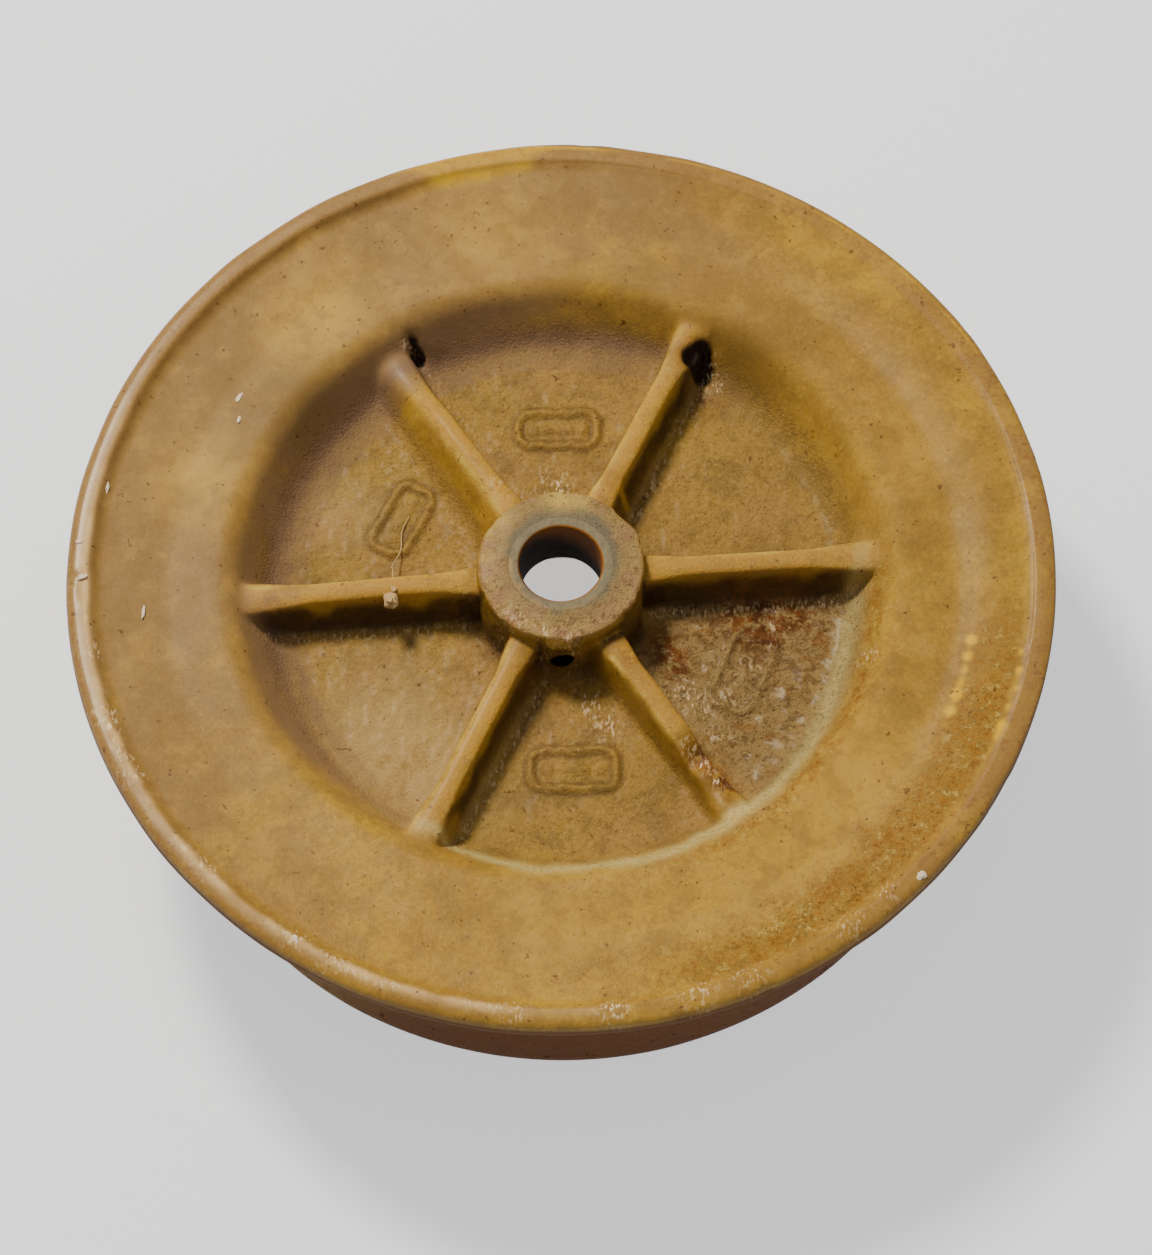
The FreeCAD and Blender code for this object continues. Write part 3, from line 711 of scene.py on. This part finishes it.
# The near edge of the recess: a pale band of paint, made paler as a painted highlight where the near slope
# faces the lamp.
edge_width = (1.2 + 1.0 * smooth_step(angle, -125, -95)) * mm
pale_lit_edge_band = bell(r + 0.9 * mm * small + 0.6 * mm * middle, edge_r, edge_width)
pale_lit_edge_band = pale_lit_edge_band * smooth_step(angle, -135, -100) * smooth_step(angle, 16, -20)
web_floor = floor_part * (1 - smooth_step(ribs, 2 * mm, 6 * mm))
wheel_marks = {
    "crest": np.clip(high + hub_rim, 0, 1),
    # Painted shade: rib sides turned from the lamp and the hub's near foot.
    "corner": np.clip(painted_lee_shade * in_recess + hub_foot_shade * (1 - hub_top), 0, 1) * upper,
    "far_wall_shade": np.clip(np.maximum(wall_line * far_side, 0.8 * seam_shade), 0, 1) * in_recess,
    "outline": np.clip(marks_darkened * floor_only + hub_edge_shade, 0, 1) * upper,
    "rib_edge_wear_and_highlight": rib_edge_wear_and_highlight * high,
    "painted_light_floor": np.clip(blobs(x, y, lit_floor_spots), 0, 1) * floor_only,
    "left_wall_shade": left_wall_band * upper,
    "scale": scale,
    "web": np.clip(web_floor + crud * 0.5, 0, 1),
    "hub": hub_top * smooth_step(z0, top - 2 * mm, top - 0.5 * mm),
    "pit": np.clip(pits * 1.3, 0, 1) * upper,
    "crud": crud,
    "rust": np.clip(blobs(x, y, rust_spots), 0, 1) * in_recess,
    "recess_edge_pale_and_lit": pale_lit_edge_band * upper,
}

# Marks of the dish and the lip: painted glints and sheen, pale yellow beads that are painted lamp
# reflections, painted shade under the lip, and clouds of painted shade and painted light.
glint_spots = (
    (31, -29, 3.0, 0.9), (28, -25, 2.5, 0.8), (35, -36, 3.0, 0.6), (28.5, -43, 1.8, 1.0),
    (31.5, -47, 1.8, 1.0), (34.5, -51, 1.8, 1.0), (6, -28, 3.0, 0.8), (10, -34, 3.0, 0.8),
    (-1, 28, 4.0, 0.8), (-13, 24, 3.0, 0.6), (-12, -13, 3.0, 0.5), (49, -9, 1.6, 0.9),
    (44, -19, 2.4, 0.8), (39, -27, 2.0, 0.6), (-4, -17, 2.0, 0.8), (2, -18, 2.0, 0.7),
    (-9, -14, 2.0, 0.6), (37.5, 54.5, 2.0, 0.6), (-36.2, 63, 1.2, 0.8), (10, -109.6, 3.0, 1.0),
    (-12, -109.8, 2.4, 1.0), (-60, -91, 3, 0.9), (-52, -97, 3, 0.9), (-80, -74, 3, 0.7),
    (-97, -50, 3.5, 0.8), (-103, -36, 4.0, 0.8), (28, -105.8, 4, 0.7), (40, -101.6, 4, 0.6),
    (62, -90, 4, 0.6), (-107, -20, 3.0, 0.6), (71, -83, 3, 0.5), (70, -22, 2.0, 0.8),
)
# Painted highlights: glints on the web, the flaked panel and the lip.
glints = blobs(x, y, glint_spots) * (1 - window(r, 96 * mm, 98 * mm, 107 * mm, 108 * mm))
# Painted highlight along the foot of the ribs' shaded sides.
glints = glints + 0.9 * rib_foot_highlight * smooth_step(r, 20 * mm, 26 * mm) * in_recess
# Painted highlight: a soft light streak along the lip's left and front.
lip_highlight = bell(r + 0.3 * mm * small, 110.1 * mm, 1.0 * mm) * smooth_step(y + 0.25 * x, 30 * mm, -10 * mm)
lip_highlight = lip_highlight * smooth_step(y - 0.9 * x, -125 * mm, -95 * mm)
glints = glints + 0.6 * lip_highlight * smooth_step(middle + 0.3 * small, -0.15, 0.5)
lip_part = smooth_step(r + 0.5 * mm * small, lip_in - 0.8 * mm, lip_in + 0.8 * mm) * upper
lip_part = lip_part * (1 - 0.3 * smooth_step(y, 30 * mm, 80 * mm))
# Painted shade under the dish and lip, and round the lip's outer lower edge.
shade_below = smooth_step(r, 96 * mm, 102 * mm) * (1 - upper)
outer_edge = smooth_step(r, rim_r - 1.5 * mm, rim_r - 0.2 * mm)
shade_below = shade_below + outer_edge * smooth_step(z0, top - 0.9 * mm, top - 2.1 * mm)
shoulder_line = bell(r, 76.5 * mm, 3.5 * mm) + bell(r, 105 * mm, 7 * mm)
# Pale yellow spots: two rows of beads on the dish that are painted lamp reflections, painted highlights on
# the lip's top, and yellow paint on the hub.
pale_and_reflection_spots = (
    (96.6, -8, 1.2, 0.6), (95.9, -12, 1.4, 0.8), (95.2, -16, 1.4, 0.7), (93.6, -20, 1.8, 1.2),
    (92.4, -24, 1.5, 1.1), (91.9, -27.5, 1.4, 0.9), (91, -30.5, 1.5, 0.8), (89.4, -33.5, 1.9, 1.2),
    (87.4, -37.5, 1.8, 1.2), (86, -41, 1.3, 0.6), (105.2, -24, 1.4, 0.9), (104.4, -29, 1.6, 1.0),
    (103.4, -33.5, 1.4, 0.8), (101.4, -38, 1.6, 0.8), (99.8, -42.5, 2.0, 1.0), (98.6, -45.5, 1.8, 0.8),
    (96.6, -49, 1.6, 0.6), (-28, 108, 6, 1.0), (-18, 110, 6, 1.0), (-8, 111, 5, 0.9),
    (0, 17.2, 3.2, 1.2), (5, 16.6, 2.6, 0.8), (-13.5, 12, 2.2, 0.9), (-16.5, 8.5, 1.8, 0.8),
    (-17.5, 2, 1.6, 0.7), (-15, 22, 2.2, 0.4), (15, 22, 2.4, 0.7),
)
# Painted highlight along the lip's outer edge at the upper right and top.
outer_edge_highlight = bell(r + 0.3 * mm * small, 112.7 * mm, 0.8 * mm) * smooth_step(angle, 8, 40)
outer_edge_highlight = outer_edge_highlight * smooth_step(angle, 128, 100) * (0.75 + 0.5 * middle)
# Painted shade and sheen: the dish's upper left, turned from the lamp, is dulled to grey-brown.
grey_shade_side = smooth_step(-0.8 * x + 0.6 * y, -30 * mm, 60 * mm) * smooth_step(r, 68 * mm, 76 * mm)
# Painted shade in patches, mostly on the dish by the far shoulder.
shade_spots = (
    (42, 58, 10.5, 0.7), (60, 62, 9, 0.35), (-60, 45, 14, 0.6), (-66, 8, 10, 0.4), (20, 76, 9, 0.3),
    (92, 6, 18, 0.2),
)
# Painted light: brighter ochre pools on the dish.
light_spots = (
    (-56, 70, 12, 1.0), (-84, 25, 12, 0.8), (-16, 90, 14, 0.7), (-6, -87, 12, 0.8), (66, -54, 18, 0.8),
    (84, 30, 14, 0.4), (-62, 62, 8, 0.5), (40, -82, 14, 0.5),
)
lip_front = 0.35 + 0.65 * smooth_step(y + 8 * mm * middle, -100 * mm, -70 * mm)
wheel_marks |= {
    "glint": np.clip(glints, 0, 1) * upper,
    "sheen": lip_highlight * (0.6 + 0.4 * small) * upper,
    "lip": lip_part * lip_front,
    "underside_shade": np.clip(shade_below, 0, 1),
    "shoulder": shoulder_line * smooth_step(x, 10 * mm, 40 * mm) * upper,
    "pale_paint_and_reflections": np.clip(blobs(x, y, pale_and_reflection_spots) + outer_edge_highlight, 0, 1.2) * upper,
    "grey_shade_and_sheen": grey_shade_side * upper,
    "painted_shade_patches": np.clip(blobs(x, y, shade_spots), 0, 1) * upper,
    "painted_light_patches": np.clip(blobs(x, y, light_spots), 0, 1) * upper,
}
for name, values in wheel_marks.items():
    mark(wheel, name, values)


def drill(piece, radius, start, end):
    """Cuts a round hole between two points, and leaves its wall smooth."""
    axis = np.array(end, float) - start
    length = np.linalg.norm(axis)
    axis /= length
    side = np.cross(axis, (1, 0, 0))
    other = np.cross(axis, side)
    turn = np.linspace(0, 2 * np.pi, 40, endpoint=False)[:, None]
    ring = radius * (np.cos(turn) * side + np.sin(turn) * other)
    points = np.concatenate([ring + start, ring + end])
    n = len(ring)
    faces = [(i, (i + 1) % n, n + (i + 1) % n, n + i) for i in range(n)]
    faces += [tuple(range(n))[::-1], tuple(range(n, 2 * n))]
    mesh = bpy.data.meshes.new("drill")
    mesh.from_pydata(points.tolist(), [], faces)
    tool = bpy.data.objects.new("drill", mesh)
    bpy.context.scene.collection.objects.link(tool)
    cut = piece.modifiers.new("hole", "BOOLEAN")
    cut.operation = "DIFFERENCE"
    cut.solver = "EXACT"
    cut.object = tool
    evaluated = piece.evaluated_get(bpy.context.evaluated_depsgraph_get())
    made = bpy.data.meshes.new_from_object(evaluated)
    piece.modifiers.remove(cut)
    piece.data = made
    bpy.data.objects.remove(tool)


screw_low, screw_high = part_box("hub_lock_screw")
screw_z = (screw_low.z + screw_high.z) / 2
drill(wheel, 2.5 * mm, (0, -10 * mm, screw_z), (0, -27 * mm, screw_z))


def layer(place, name):
    """A mark that the mesh carries."""
    return place.node("ShaderNodeAttribute", out=2, attribute_name=name)


def hub_face(place):
    """Colour of the hub's end: tan paint, rubbed and pitted, worn through to grey metal in a ragged
    ring round the bore that is widest at the back."""
    x, y, _ = place.parts()
    radius = (x * x + y * y) ** 0.5
    blot, flake = place.speckle(5 * mm, 5.0, 0.65), place.speckle(2.0 * mm, 5.0, 0.75)
    edge = radius - y.math("MAXIMUM", y, 0.0) * 0.2 - x.math("MAXIMUM", x, 0.0) * 0.09
    edge = edge + (blot - 0.5) * 6 * mm
    tone = blot.ease(0.42, 0.6).over((0.38, 0.262, 0.098), (0.33, 0.195, 0.105))
    tone = (flake.ease(0.47, 0.36) * 0.6).over(tone, (0.47, 0.33, 0.16))
    tone = (flake.ease(0.53, 0.62) * 0.75).over(tone, (0.14, 0.07, 0.028))
    tone = (edge.ease(16.5 * mm, 12.5 * mm) * 0.45).over(tone, (0.24, 0.195, 0.085))
    return (edge.ease(12.9 * mm, 10.8 * mm) * (flake * 0.5 + 0.55)).over(tone, (0.14, 0.137, 0.107))


made, shader, place, tone, fine = worn_paint(
    "wheel_paint", (0.43, 0.265, 0.028), (0.32, 0.185, 0.026), (0.29, 0.185, 0.04)
)
web, corner, hub, crest, lip = (layer(place, n) for n in ("web", "corner", "hub", "crest", "lip"))
crud, rust, pale_paint_and_reflections, pit, glint = (layer(place, n) for n in ("crud", "rust", "pale_paint_and_reflections", "pit", "glint"))
grey_shade_and_sheen, painted_shade_patches, painted_light_patches, underside_shade = (layer(place, n) for n in ("grey_shade_and_sheen", "painted_shade_patches", "painted_light_patches", "underside_shade"))
edge, scale, shoulder = (layer(place, n) for n in ("recess_edge_pale_and_lit", "scale", "shoulder"))
patch = place.speckle(26 * mm, 4.0, 0.6)
blot = place.speckle(8 * mm, 5.0, 0.65)
flake = place.speckle(2.4 * mm, 5.0, 0.72)
sand = place.speckle(0.9 * mm, 4.0, 0.75)
rusty = rust * flake.ease(0.44, 0.5)
rust_tone = blot.ease(0.4, 0.6).over((0.22, 0.082, 0.016), (0.10, 0.032, 0.009))
lip_worn = lip * place.speckle(16 * mm, 5.0, 0.6).ease(0.32, 0.56)
across, ahead, height = place.parts()
rise = height - screw_z
near_side = ahead.ease(-8 * mm, -9 * mm) * ahead.ease(-28 * mm, -26 * mm)
hole = ((across * across + rise * rise) ** 0.5).ease(3.2 * mm, 2.6 * mm) * near_side
specks = place.speckle(1.9 * mm, 2.0, 0.6).ease(0.67, 0.73)
tall = place.node("ShaderNodeVectorMath", {0: place, 1: (1.3, 0.55, 1.0)}, operation="MULTIPLY")
spark = glint * tall.speckle(1.0 * mm, 3.0, 0.6).ease(0.52, 0.6) * flake.ease(0.38, 0.5)
tone = paint_over(tone, (
    # Painted shade and grey sheen on the dish's upper left.
    (grey_shade_and_sheen * patch.ease(0.2, 0.55) * 0.8, (0.222, 0.138, 0.055)),
    # Painted light in pools on the dish.
    (painted_light_patches * patch.ease(0.2, 0.5) * 0.75, (0.5, 0.32, 0.05)),
    (blot.ease(0.47, 0.62) * 0.38, (0.19, 0.115, 0.026)),
    (blot.ease(0.47, 0.34) * 0.3, (0.46, 0.30, 0.07)),
    (flake.ease(0.52, 0.64) * 0.25, (0.17, 0.09, 0.025)),
    (web * 0.6, (0.26, 0.17, 0.042)),
    (web * patch.ease(0.42, 0.62) * 0.5, (0.30, 0.175, 0.06)),
    (web * blot.ease(0.48, 0.6) * 0.5, (0.17, 0.11, 0.03)),
    (web * flake.ease(0.52, 0.62) * 0.35, (0.13, 0.07, 0.022)),
    (web * sand.ease(0.52, 0.64) * 0.4, (0.11, 0.058, 0.02)),
    (web * sand.ease(0.45, 0.33) * 0.35, (0.46, 0.34, 0.14)),
    # Painted light on the web floor.
    (layer(place, "painted_light_floor") * blot.ease(0.25, 0.5) * 0.6, (0.50, 0.36, 0.16)),
    # Painted shade on the left recess wall.
    (layer(place, "left_wall_shade") * patch.ease(0.2, 0.5) * 0.85, (0.235, 0.15, 0.09)),
    # Darker round the cartouche frames; painted shade along the hub's near edge.
    (layer(place, "outline") * 0.6, (0.07, 0.038, 0.013)),
    (scale * 0.7, (0.34, 0.24, 0.105)),
    (scale * flake.ease(0.5, 0.6) * 0.6, (0.12, 0.075, 0.03)),
    (scale * blot.ease(0.55, 0.63) * flake.ease(0.35, 0.5) * 0.6, (0.24, 0.10, 0.02)),
    (scale * sand.ease(0.55, 0.62) * 0.6, (0.05, 0.024, 0.01)),
    # Painted shade in patches on the dish.
    (painted_shade_patches * 0.75, (0.11, 0.07, 0.018)),
    # Painted shade on the far wall and in the seam.
    (layer(place, "far_wall_shade") * (blot * 0.5 + 0.6), (0.18, 0.113, 0.075)),
    # Painted shade: near black beside the ribs and at the hub's near foot.
    (corner * (flake * 0.4 + 0.75), (0.028, 0.013, 0.007)),
    (crest * blot.ease(0.3, 0.6) * 0.6, (0.5, 0.27, 0.04)),
    (crest * flake.ease(0.55, 0.7) * 0.5, (0.52, 0.40, 0.12)),
    (crest * flake.ease(0.48, 0.4) * blot.ease(0.6, 0.4) * 0.6, (0.26, 0.145, 0.045)),
    (crud * flake.ease(0.46, 0.54) * blot.ease(0.36, 0.5) * 0.75, (0.38, 0.19, 0.024)),
    (crud * flake.ease(0.54, 0.6) * 0.5, (0.17, 0.078, 0.014)),
    (crud * flake.ease(0.44, 0.36) * 0.6, (0.62, 0.45, 0.12)),
    (crud * sand.ease(0.55, 0.62) * 0.5, (0.14, 0.06, 0.012)),
    (rusty, rust_tone),
    # Pale paint and painted highlight along the recess's near edge.
    (edge * flake.ease(0.3, 0.5) * 0.9, (0.60, 0.52, 0.23)),
    (edge * flake.ease(0.5, 0.56) * 0.45, (0.33, 0.24, 0.08)),
    (edge * sand.ease(0.52, 0.6) * 0.6, (0.19, 0.12, 0.045)),
    # Paint wear and painted highlight along the ribs' lit edges.
    (layer(place, "rib_edge_wear_and_highlight") * blot.ease(0.35, 0.6) * 0.7, (0.60, 0.47, 0.10)),
    # Pale yellow: painted lamp reflections and highlights on the dish and lip, and yellow paint.
    ((pale_paint_and_reflections * (flake * 0.8 + 0.45)).ease(0.25, 0.85), (0.68, 0.43, 0.014)),
    (lip_worn * 0.85, (0.285, 0.165, 0.047)),
    (lip * flake.ease(0.5, 0.62) * 0.45, (0.2, 0.085, 0.03)),
    (lip * sand.ease(0.42, 0.32) * 0.4, (0.52, 0.36, 0.15)),
    # Painted highlight along the lip.
    (layer(place, "sheen") * 0.72, (0.78, 0.57, 0.28)),
    # Painted shade under the lip.
    (underside_shade * 0.92, (0.075, 0.026, 0.006)),
    (hub, hub_face(place)),
    (pale_paint_and_reflections * hub * (flake * 0.6 + 0.5), (0.60, 0.45, 0.12)),
    # Painted shade: the blowholes are coloured near black.
    (pit.ease(0.15, 0.6), (0.012, 0.005, 0.003)),
    # Painted shade: the side hole is coloured near black.
    (hole, (0.006, 0.003, 0.002)),
    (specks * 0.7, (0.09, 0.032, 0.012)),
    # Painted highlights: pale sparkles where the glint mark lies.
    (spark * 0.9, (0.9, 0.72, 0.46)),
))
roughness = 0.37 + web * 0.08 - scale * 0.12 + corner * 0.2 + rust * 0.1 + fine * 0.16 + grey_shade_and_sheen * 0.08
relief = bump(place.speckle(6 * mm, 3.0) * 0.6 + fine * 0.12, 0.3 * mm)
rough_web = web * 0.5 + hub * 0.8 + crud * 0.3 + scale * 0.7 + crest * 0.3 + 0.07
grains = sand + place.speckle(0.55 * mm, 2.0) * 0.6 - 0.8
relief = bump(grains * rough_web, 0.65 * mm, relief)
relief = bump((flake - 0.5) * (lip * 0.5 + rust * 1.5 + hub + scale), 0.4 * mm, relief)
roughness = roughness - spark * 0.2 + underside_shade * 0.4 + shoulder * 0.3
gloss = lip * 0.3 + scale * 0.08 + crest * 0.02 + 0.04
connect(shader, Base_Color=tone, Roughness=roughness, Normal=relief, Specular_IOR_Level=0.2)
connect(shader, Coat_Weight=gloss * (1 - underside_shade) * (1 - shoulder), Coat_Roughness=0.26)
wheel.data.materials.clear()
wheel.data.materials.append(made)
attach(wheel, "wheel")
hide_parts("wheel_head")

# ---- Dried clay on the wheel --------------------------------------------------------------------
# A crumb of dried clay stuck on the left rib, a bristle from a brush beside it, and a few splashes
# of white slip that have dried on the paint.


def sphere_grid(name, rings, first, last):
    """Mesh of a grid closed round, with a single point added at each end."""
    rows, cols = rings.shape[:2]
    i, j = np.meshgrid(np.arange(rows - 1), np.arange(cols), indexing="ij")
    right = (j + 1) % cols
    quads = np.stack([i * cols + j, i * cols + right, (i + 1) * cols + right, (i + 1) * cols + j], -1)
    around = np.arange(cols)
    onward = (around + 1) % cols
    base_cap = np.stack([np.full(cols, rows * cols), onward, around], -1)
    start = (rows - 1) * cols
    top_cap = np.stack([np.full(cols, rows * cols + 1), start + around, start + onward], -1)
    points = np.concatenate([rings.reshape(-1, 3), [first, last]])
    faces = quads.reshape(-1, 4).tolist() + base_cap.tolist() + top_cap.tolist()
    mesh = bpy.data.meshes.new(name)
    mesh.from_pydata(points.tolist(), [], faces)
    mesh.polygons.foreach_set("use_smooth", np.ones(len(faces), bool))
    piece = bpy.data.objects.new(name, mesh)
    bpy.context.scene.collection.objects.link(piece)
    return piece


def crumb(name, centre, size, rough, seed):
    """An ellipsoid about a centre, its radius varied by two sizes of noise."""
    tilts, turns = np.linspace(0, np.pi, 22)[1:-1], np.linspace(0, 2 * np.pi, 36)[:-1]
    tilt, turn = np.meshgrid(tilts, turns, indexing="ij")
    ball = np.stack([np.sin(tilt) * np.cos(turn), np.sin(tilt) * np.sin(turn), -np.cos(tilt)], -1)
    ends = np.array([[0, 0, -1.0], [0, 0, 1.0]])
    placed = []
    for part in (ball, ends):
        lumps = value_noise(part, 0.8, seed) + 0.6 * value_noise(part, 0.33, seed + 1)
        placed.append(np.array(centre) + part * (1 + rough * lumps)[..., None] * size)
    shell, poles = placed
    return sphere_grid(name, shell, poles[0], poles[1])


def bristle(name, path, radius):
    """A round thread along a smooth path of points, tapering to both ends."""
    knots = np.linspace(0, 1, len(path))
    along = np.linspace(0, 1, 40)
    spine = np.stack([np.interp(along, knots, c) for c in np.array(path).T], -1)
    for _ in range(6):
        spine[1:-1] = (spine[:-2] + 2 * spine[1:-1] + spine[2:]) / 4
    heading = np.gradient(spine, axis=0)
    heading /= np.linalg.norm(heading, axis=1)[:, None]
    side = np.cross(heading, (0, 0, 1.0))
    side /= np.linalg.norm(side, axis=1)[:, None]
    lift = np.cross(side, heading)
    width = radius * np.sqrt(np.clip(1 - (2 * along - 1) ** 8, 0.02, 1))[:, None, None]
    turn = np.linspace(0, 2 * np.pi, 9)[:-1, None]
    rings = np.cos(turn) * side[:, None] + np.sin(turn) * lift[:, None]
    return sphere_grid(name, (spine[:, None] + width * rings)[1:-1], spine[0], spine[-1])


made, shader, place = new_material("dry_clay")
chalk = place.speckle(0.8 * mm, 5.0, 0.7)
across = place.parts()[0]
on_rib = across.ease(-45 * mm, -42 * mm) * across.ease(-32 * mm, -35 * mm)
clay_tone = on_rib.over((0.95, 0.9, 0.78), (0.55, 0.40, 0.2))
connect(shader, Base_Color=(chalk * 0.5).over(clay_tone, (0.4, 0.26, 0.1)), Roughness=0.8 + chalk * 0.1)
connect(shader, Normal=bump(chalk, 0.3 * mm))
rib_top = top - 5.2 * mm
crumb_place = (-39.4 * mm, -5.9 * mm, rib_top - 0.6 * mm)
clods = [
    crumb("clay_crumb", crumb_place, np.array([1.5, 1.9, 1.3]) * mm, 0.45, 31),
    crumb("clay_grain", (-38.6 * mm, -3.4 * mm, rib_top), np.array([0.6, 0.7, 0.5]) * mm, 0.4, 35),
    bristle("brush_bristle", [
        (-39.2 * mm, -4.4 * mm, rib_top + 0.3 * mm), (-38.8 * mm, 2.6 * mm, rib_top - 1.5 * mm),
        (-39.6 * mm, 6 * mm, web_z + 4 * mm), (-37.2 * mm, 12 * mm, web_z + 0.9 * mm),
        (-37.4 * mm, 17 * mm, web_z + 0.7 * mm), (-35.4 * mm, 21.5 * mm, web_z + 0.7 * mm),
    ], 0.16 * mm),
]
# Each splash: x, y, half width and half length in millimetres, and heading in degrees.
slip_spots = (
    (-75, 47, 0.5, 1.4, 60), (-75, 41, 0.4, 0.9, 80), (-105.2, 23, 0.5, 1.4, 80), (-110, -1, 0.6, 1.2, 30),
    (-96, -9, 0.35, 1.6, 85), (79, -79, 0.9, 1.1, 40), (-111, 8, 0.5, 0.8, 10), (-60, -91.5, 0.6, 1.1, 120),
)
top_rows = rows[:last_upper + 1]
for i, (px, py, wide, long, heading) in enumerate(slip_spots):
    nearest = np.argmin(np.abs(top_rows[:, 0] - math.hypot(px, py) * mm))
    level = min(top_rows[nearest, 1] - 0.3 * mm, top - 0.5 * mm)
    drop = crumb(f"slip_splash_{i}", (0, 0, 0), np.array([long, wide, 0.35]) * mm, 0.35, 50 + 2 * i)
    laid = Matrix.Rotation(math.radians(heading), 4, "Z")
    drop.data.transform(Matrix.Translation((px * mm, py * mm, level)) @ laid)
    clods.append(drop)
for clod in clods:
    clod.data.materials.append(made)
    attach(clod, "wheel")

# ---- Hub bushing -------------------------------------------------------------------------------
# A steel bushing pressed into the hub. Its end face is rubbed down to grey metal, and drips of the
# wheel's paint have run down its bore.
bushing_low, bushing_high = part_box("hub_bushing")
bore_r = 9.55 * mm


def bushing_points():
    """A ring's half section turned about the axis; the bore is thickened inwards by run paint."""
    rows = half_section((
        (bore_r, bushing_low.z, 0.5 * mm, 0.6 * mm),
        (bore_r, bushing_high.z, 0.7 * mm, 0.5 * mm),
        (bushing_high.x - 0.05 * mm, bushing_high.z, 0, 1.5 * mm),
        (bushing_high.x, bushing_high.z, 0, 1.5 * mm),
        (bushing_high.x, bushing_low.z, 0.5 * mm, 1 * mm),
    ))
    turn = np.linspace(0, 2 * np.pi, 240, endpoint=False)
    r, z = rows[:, :1], rows[:, 1:]
    p = np.stack([r * np.cos(turn), r * np.sin(turn), z + 0 * turn], -1)
    run = 1 + value_noise(p * (1, 1, 0.35), 2.6 * mm, 61)
    inner = smooth_step(r, 10.3 * mm, 9.9 * mm) * smooth_step(z, bushing_low.z, top - 2 * mm)
    p[..., :2] *= (1 - 0.006 * run * inner)[..., None]
    return p


bushing = closed_grid("bushing_ring", bushing_points())
drill(bushing, 2.5 * mm, (0, -5 * mm, screw_z), (0, -14 * mm, screw_z))
made, shader, place = new_material("bushing_steel")
across, ahead, height = place.parts()
radius = (across * across + ahead * ahead) ** 0.5
inside = radius.ease(10.1 * mm, 9.8 * mm)
drip = place.speckle(3.5 * mm, 4.0, 0.6)
# Painted shade: the paint in the bore darkens to near black deeper down, less so on the right side.
bore_shade_depth = (height + across * 0.55 + drip * 3 * mm).ease(top + 0.5 * mm, top - 8 * mm)
bore_paint_and_shade = bore_shade_depth.over((0.24, 0.092, 0.018), (0.01, 0.004, 0.002))
connect(shader, Base_Color=inside.over(hub_face(place), bore_paint_and_shade), Metallic=(1 - inside) * 0.15)
connect(shader, Roughness=0.45 + inside * 0.2 + drip * 0.15, Specular_IOR_Level=0.12)
connect(shader, Normal=bump(drip + place.speckle(1.2 * mm, 4.0, 0.7) * 0.6, 0.3 * mm))
bushing.data.materials.append(made)
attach(bushing, "wheel")
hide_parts("hub_bushing")

# ---- Stage -------------------------------------------------------------------------------------
# A pale floor that glows a little, as on a light table, and soft lamps: a large one high behind on
# the left, a weak broad one in front. The camera looks down steeply from the front.
floor_mesh = bpy.data.meshes.new("floor")
floor_mesh.from_pydata([(-4, -4, 0), (4, -4, 0), (4, 4, 0), (-4, 4, 0)], [], [(0, 1, 2, 3)])
floor = bpy.data.objects.new("floor", floor_mesh)
bpy.context.scene.collection.objects.link(floor)
made, shader, place = new_material("floor_white")
connect(shader, Base_Color=(0.62, 0.70, 0.88, 1), Roughness=0.9)
connect(shader, Emission_Color=(1, 1, 1, 1), Emission_Strength=0.75)
floor_mesh.materials.append(made)


def lamp(name, place, size, power):
    """A warm square lamp at a place, turned to the wheel."""
    data = bpy.data.lights.new(name, "AREA")
    data.size = size
    data.color = (1.0, 0.85, 0.62)
    data.energy = power
    made = bpy.data.objects.new(name, data)
    bpy.context.scene.collection.objects.link(made)
    made.location = place
    aim = np.array([0, 0, 0.05]) - place
    made.rotation_mode = "QUATERNION"
    made.rotation_quaternion = Vector(aim).to_track_quat("-Z", "Y")


lamp("key_lamp", (-0.41, 0.56, 1.06), 0.22, 20.3)
lamp("fill_lamp", (0.6, -0.5, 1.5), 0.9, 2.5)
world = bpy.data.worlds.new("studio")
world.use_nodes = True
world.node_tree.nodes["Background"].inputs["Color"].default_value = (1, 0.95, 0.88, 1)
world.node_tree.nodes["Background"].inputs["Strength"].default_value = 0.28
bpy.context.scene.world = world

camera_distance = 8.754 * rim_r
camera_height = math.radians(64.0)
camera_roll = math.radians(-1.0)
lens_mm = 125.782
aim = np.array([3.25 * mm, -16.5 * mm, top])
back = np.array([0, -math.cos(camera_height), math.sin(camera_height)])
data = bpy.data.cameras.new("camera")
data.sensor_width = 36.0
data.lens = lens_mm
camera = bpy.data.objects.new("camera", data)
bpy.context.scene.collection.objects.link(camera)
camera.location = aim + back * camera_distance
camera.rotation_mode = "QUATERNION"
look = Vector(-back).to_track_quat("-Z", "Y")
camera.rotation_quaternion = look @ Matrix.Rotation(camera_roll, 4, "Z").to_quaternion()
bpy.context.scene.camera = camera
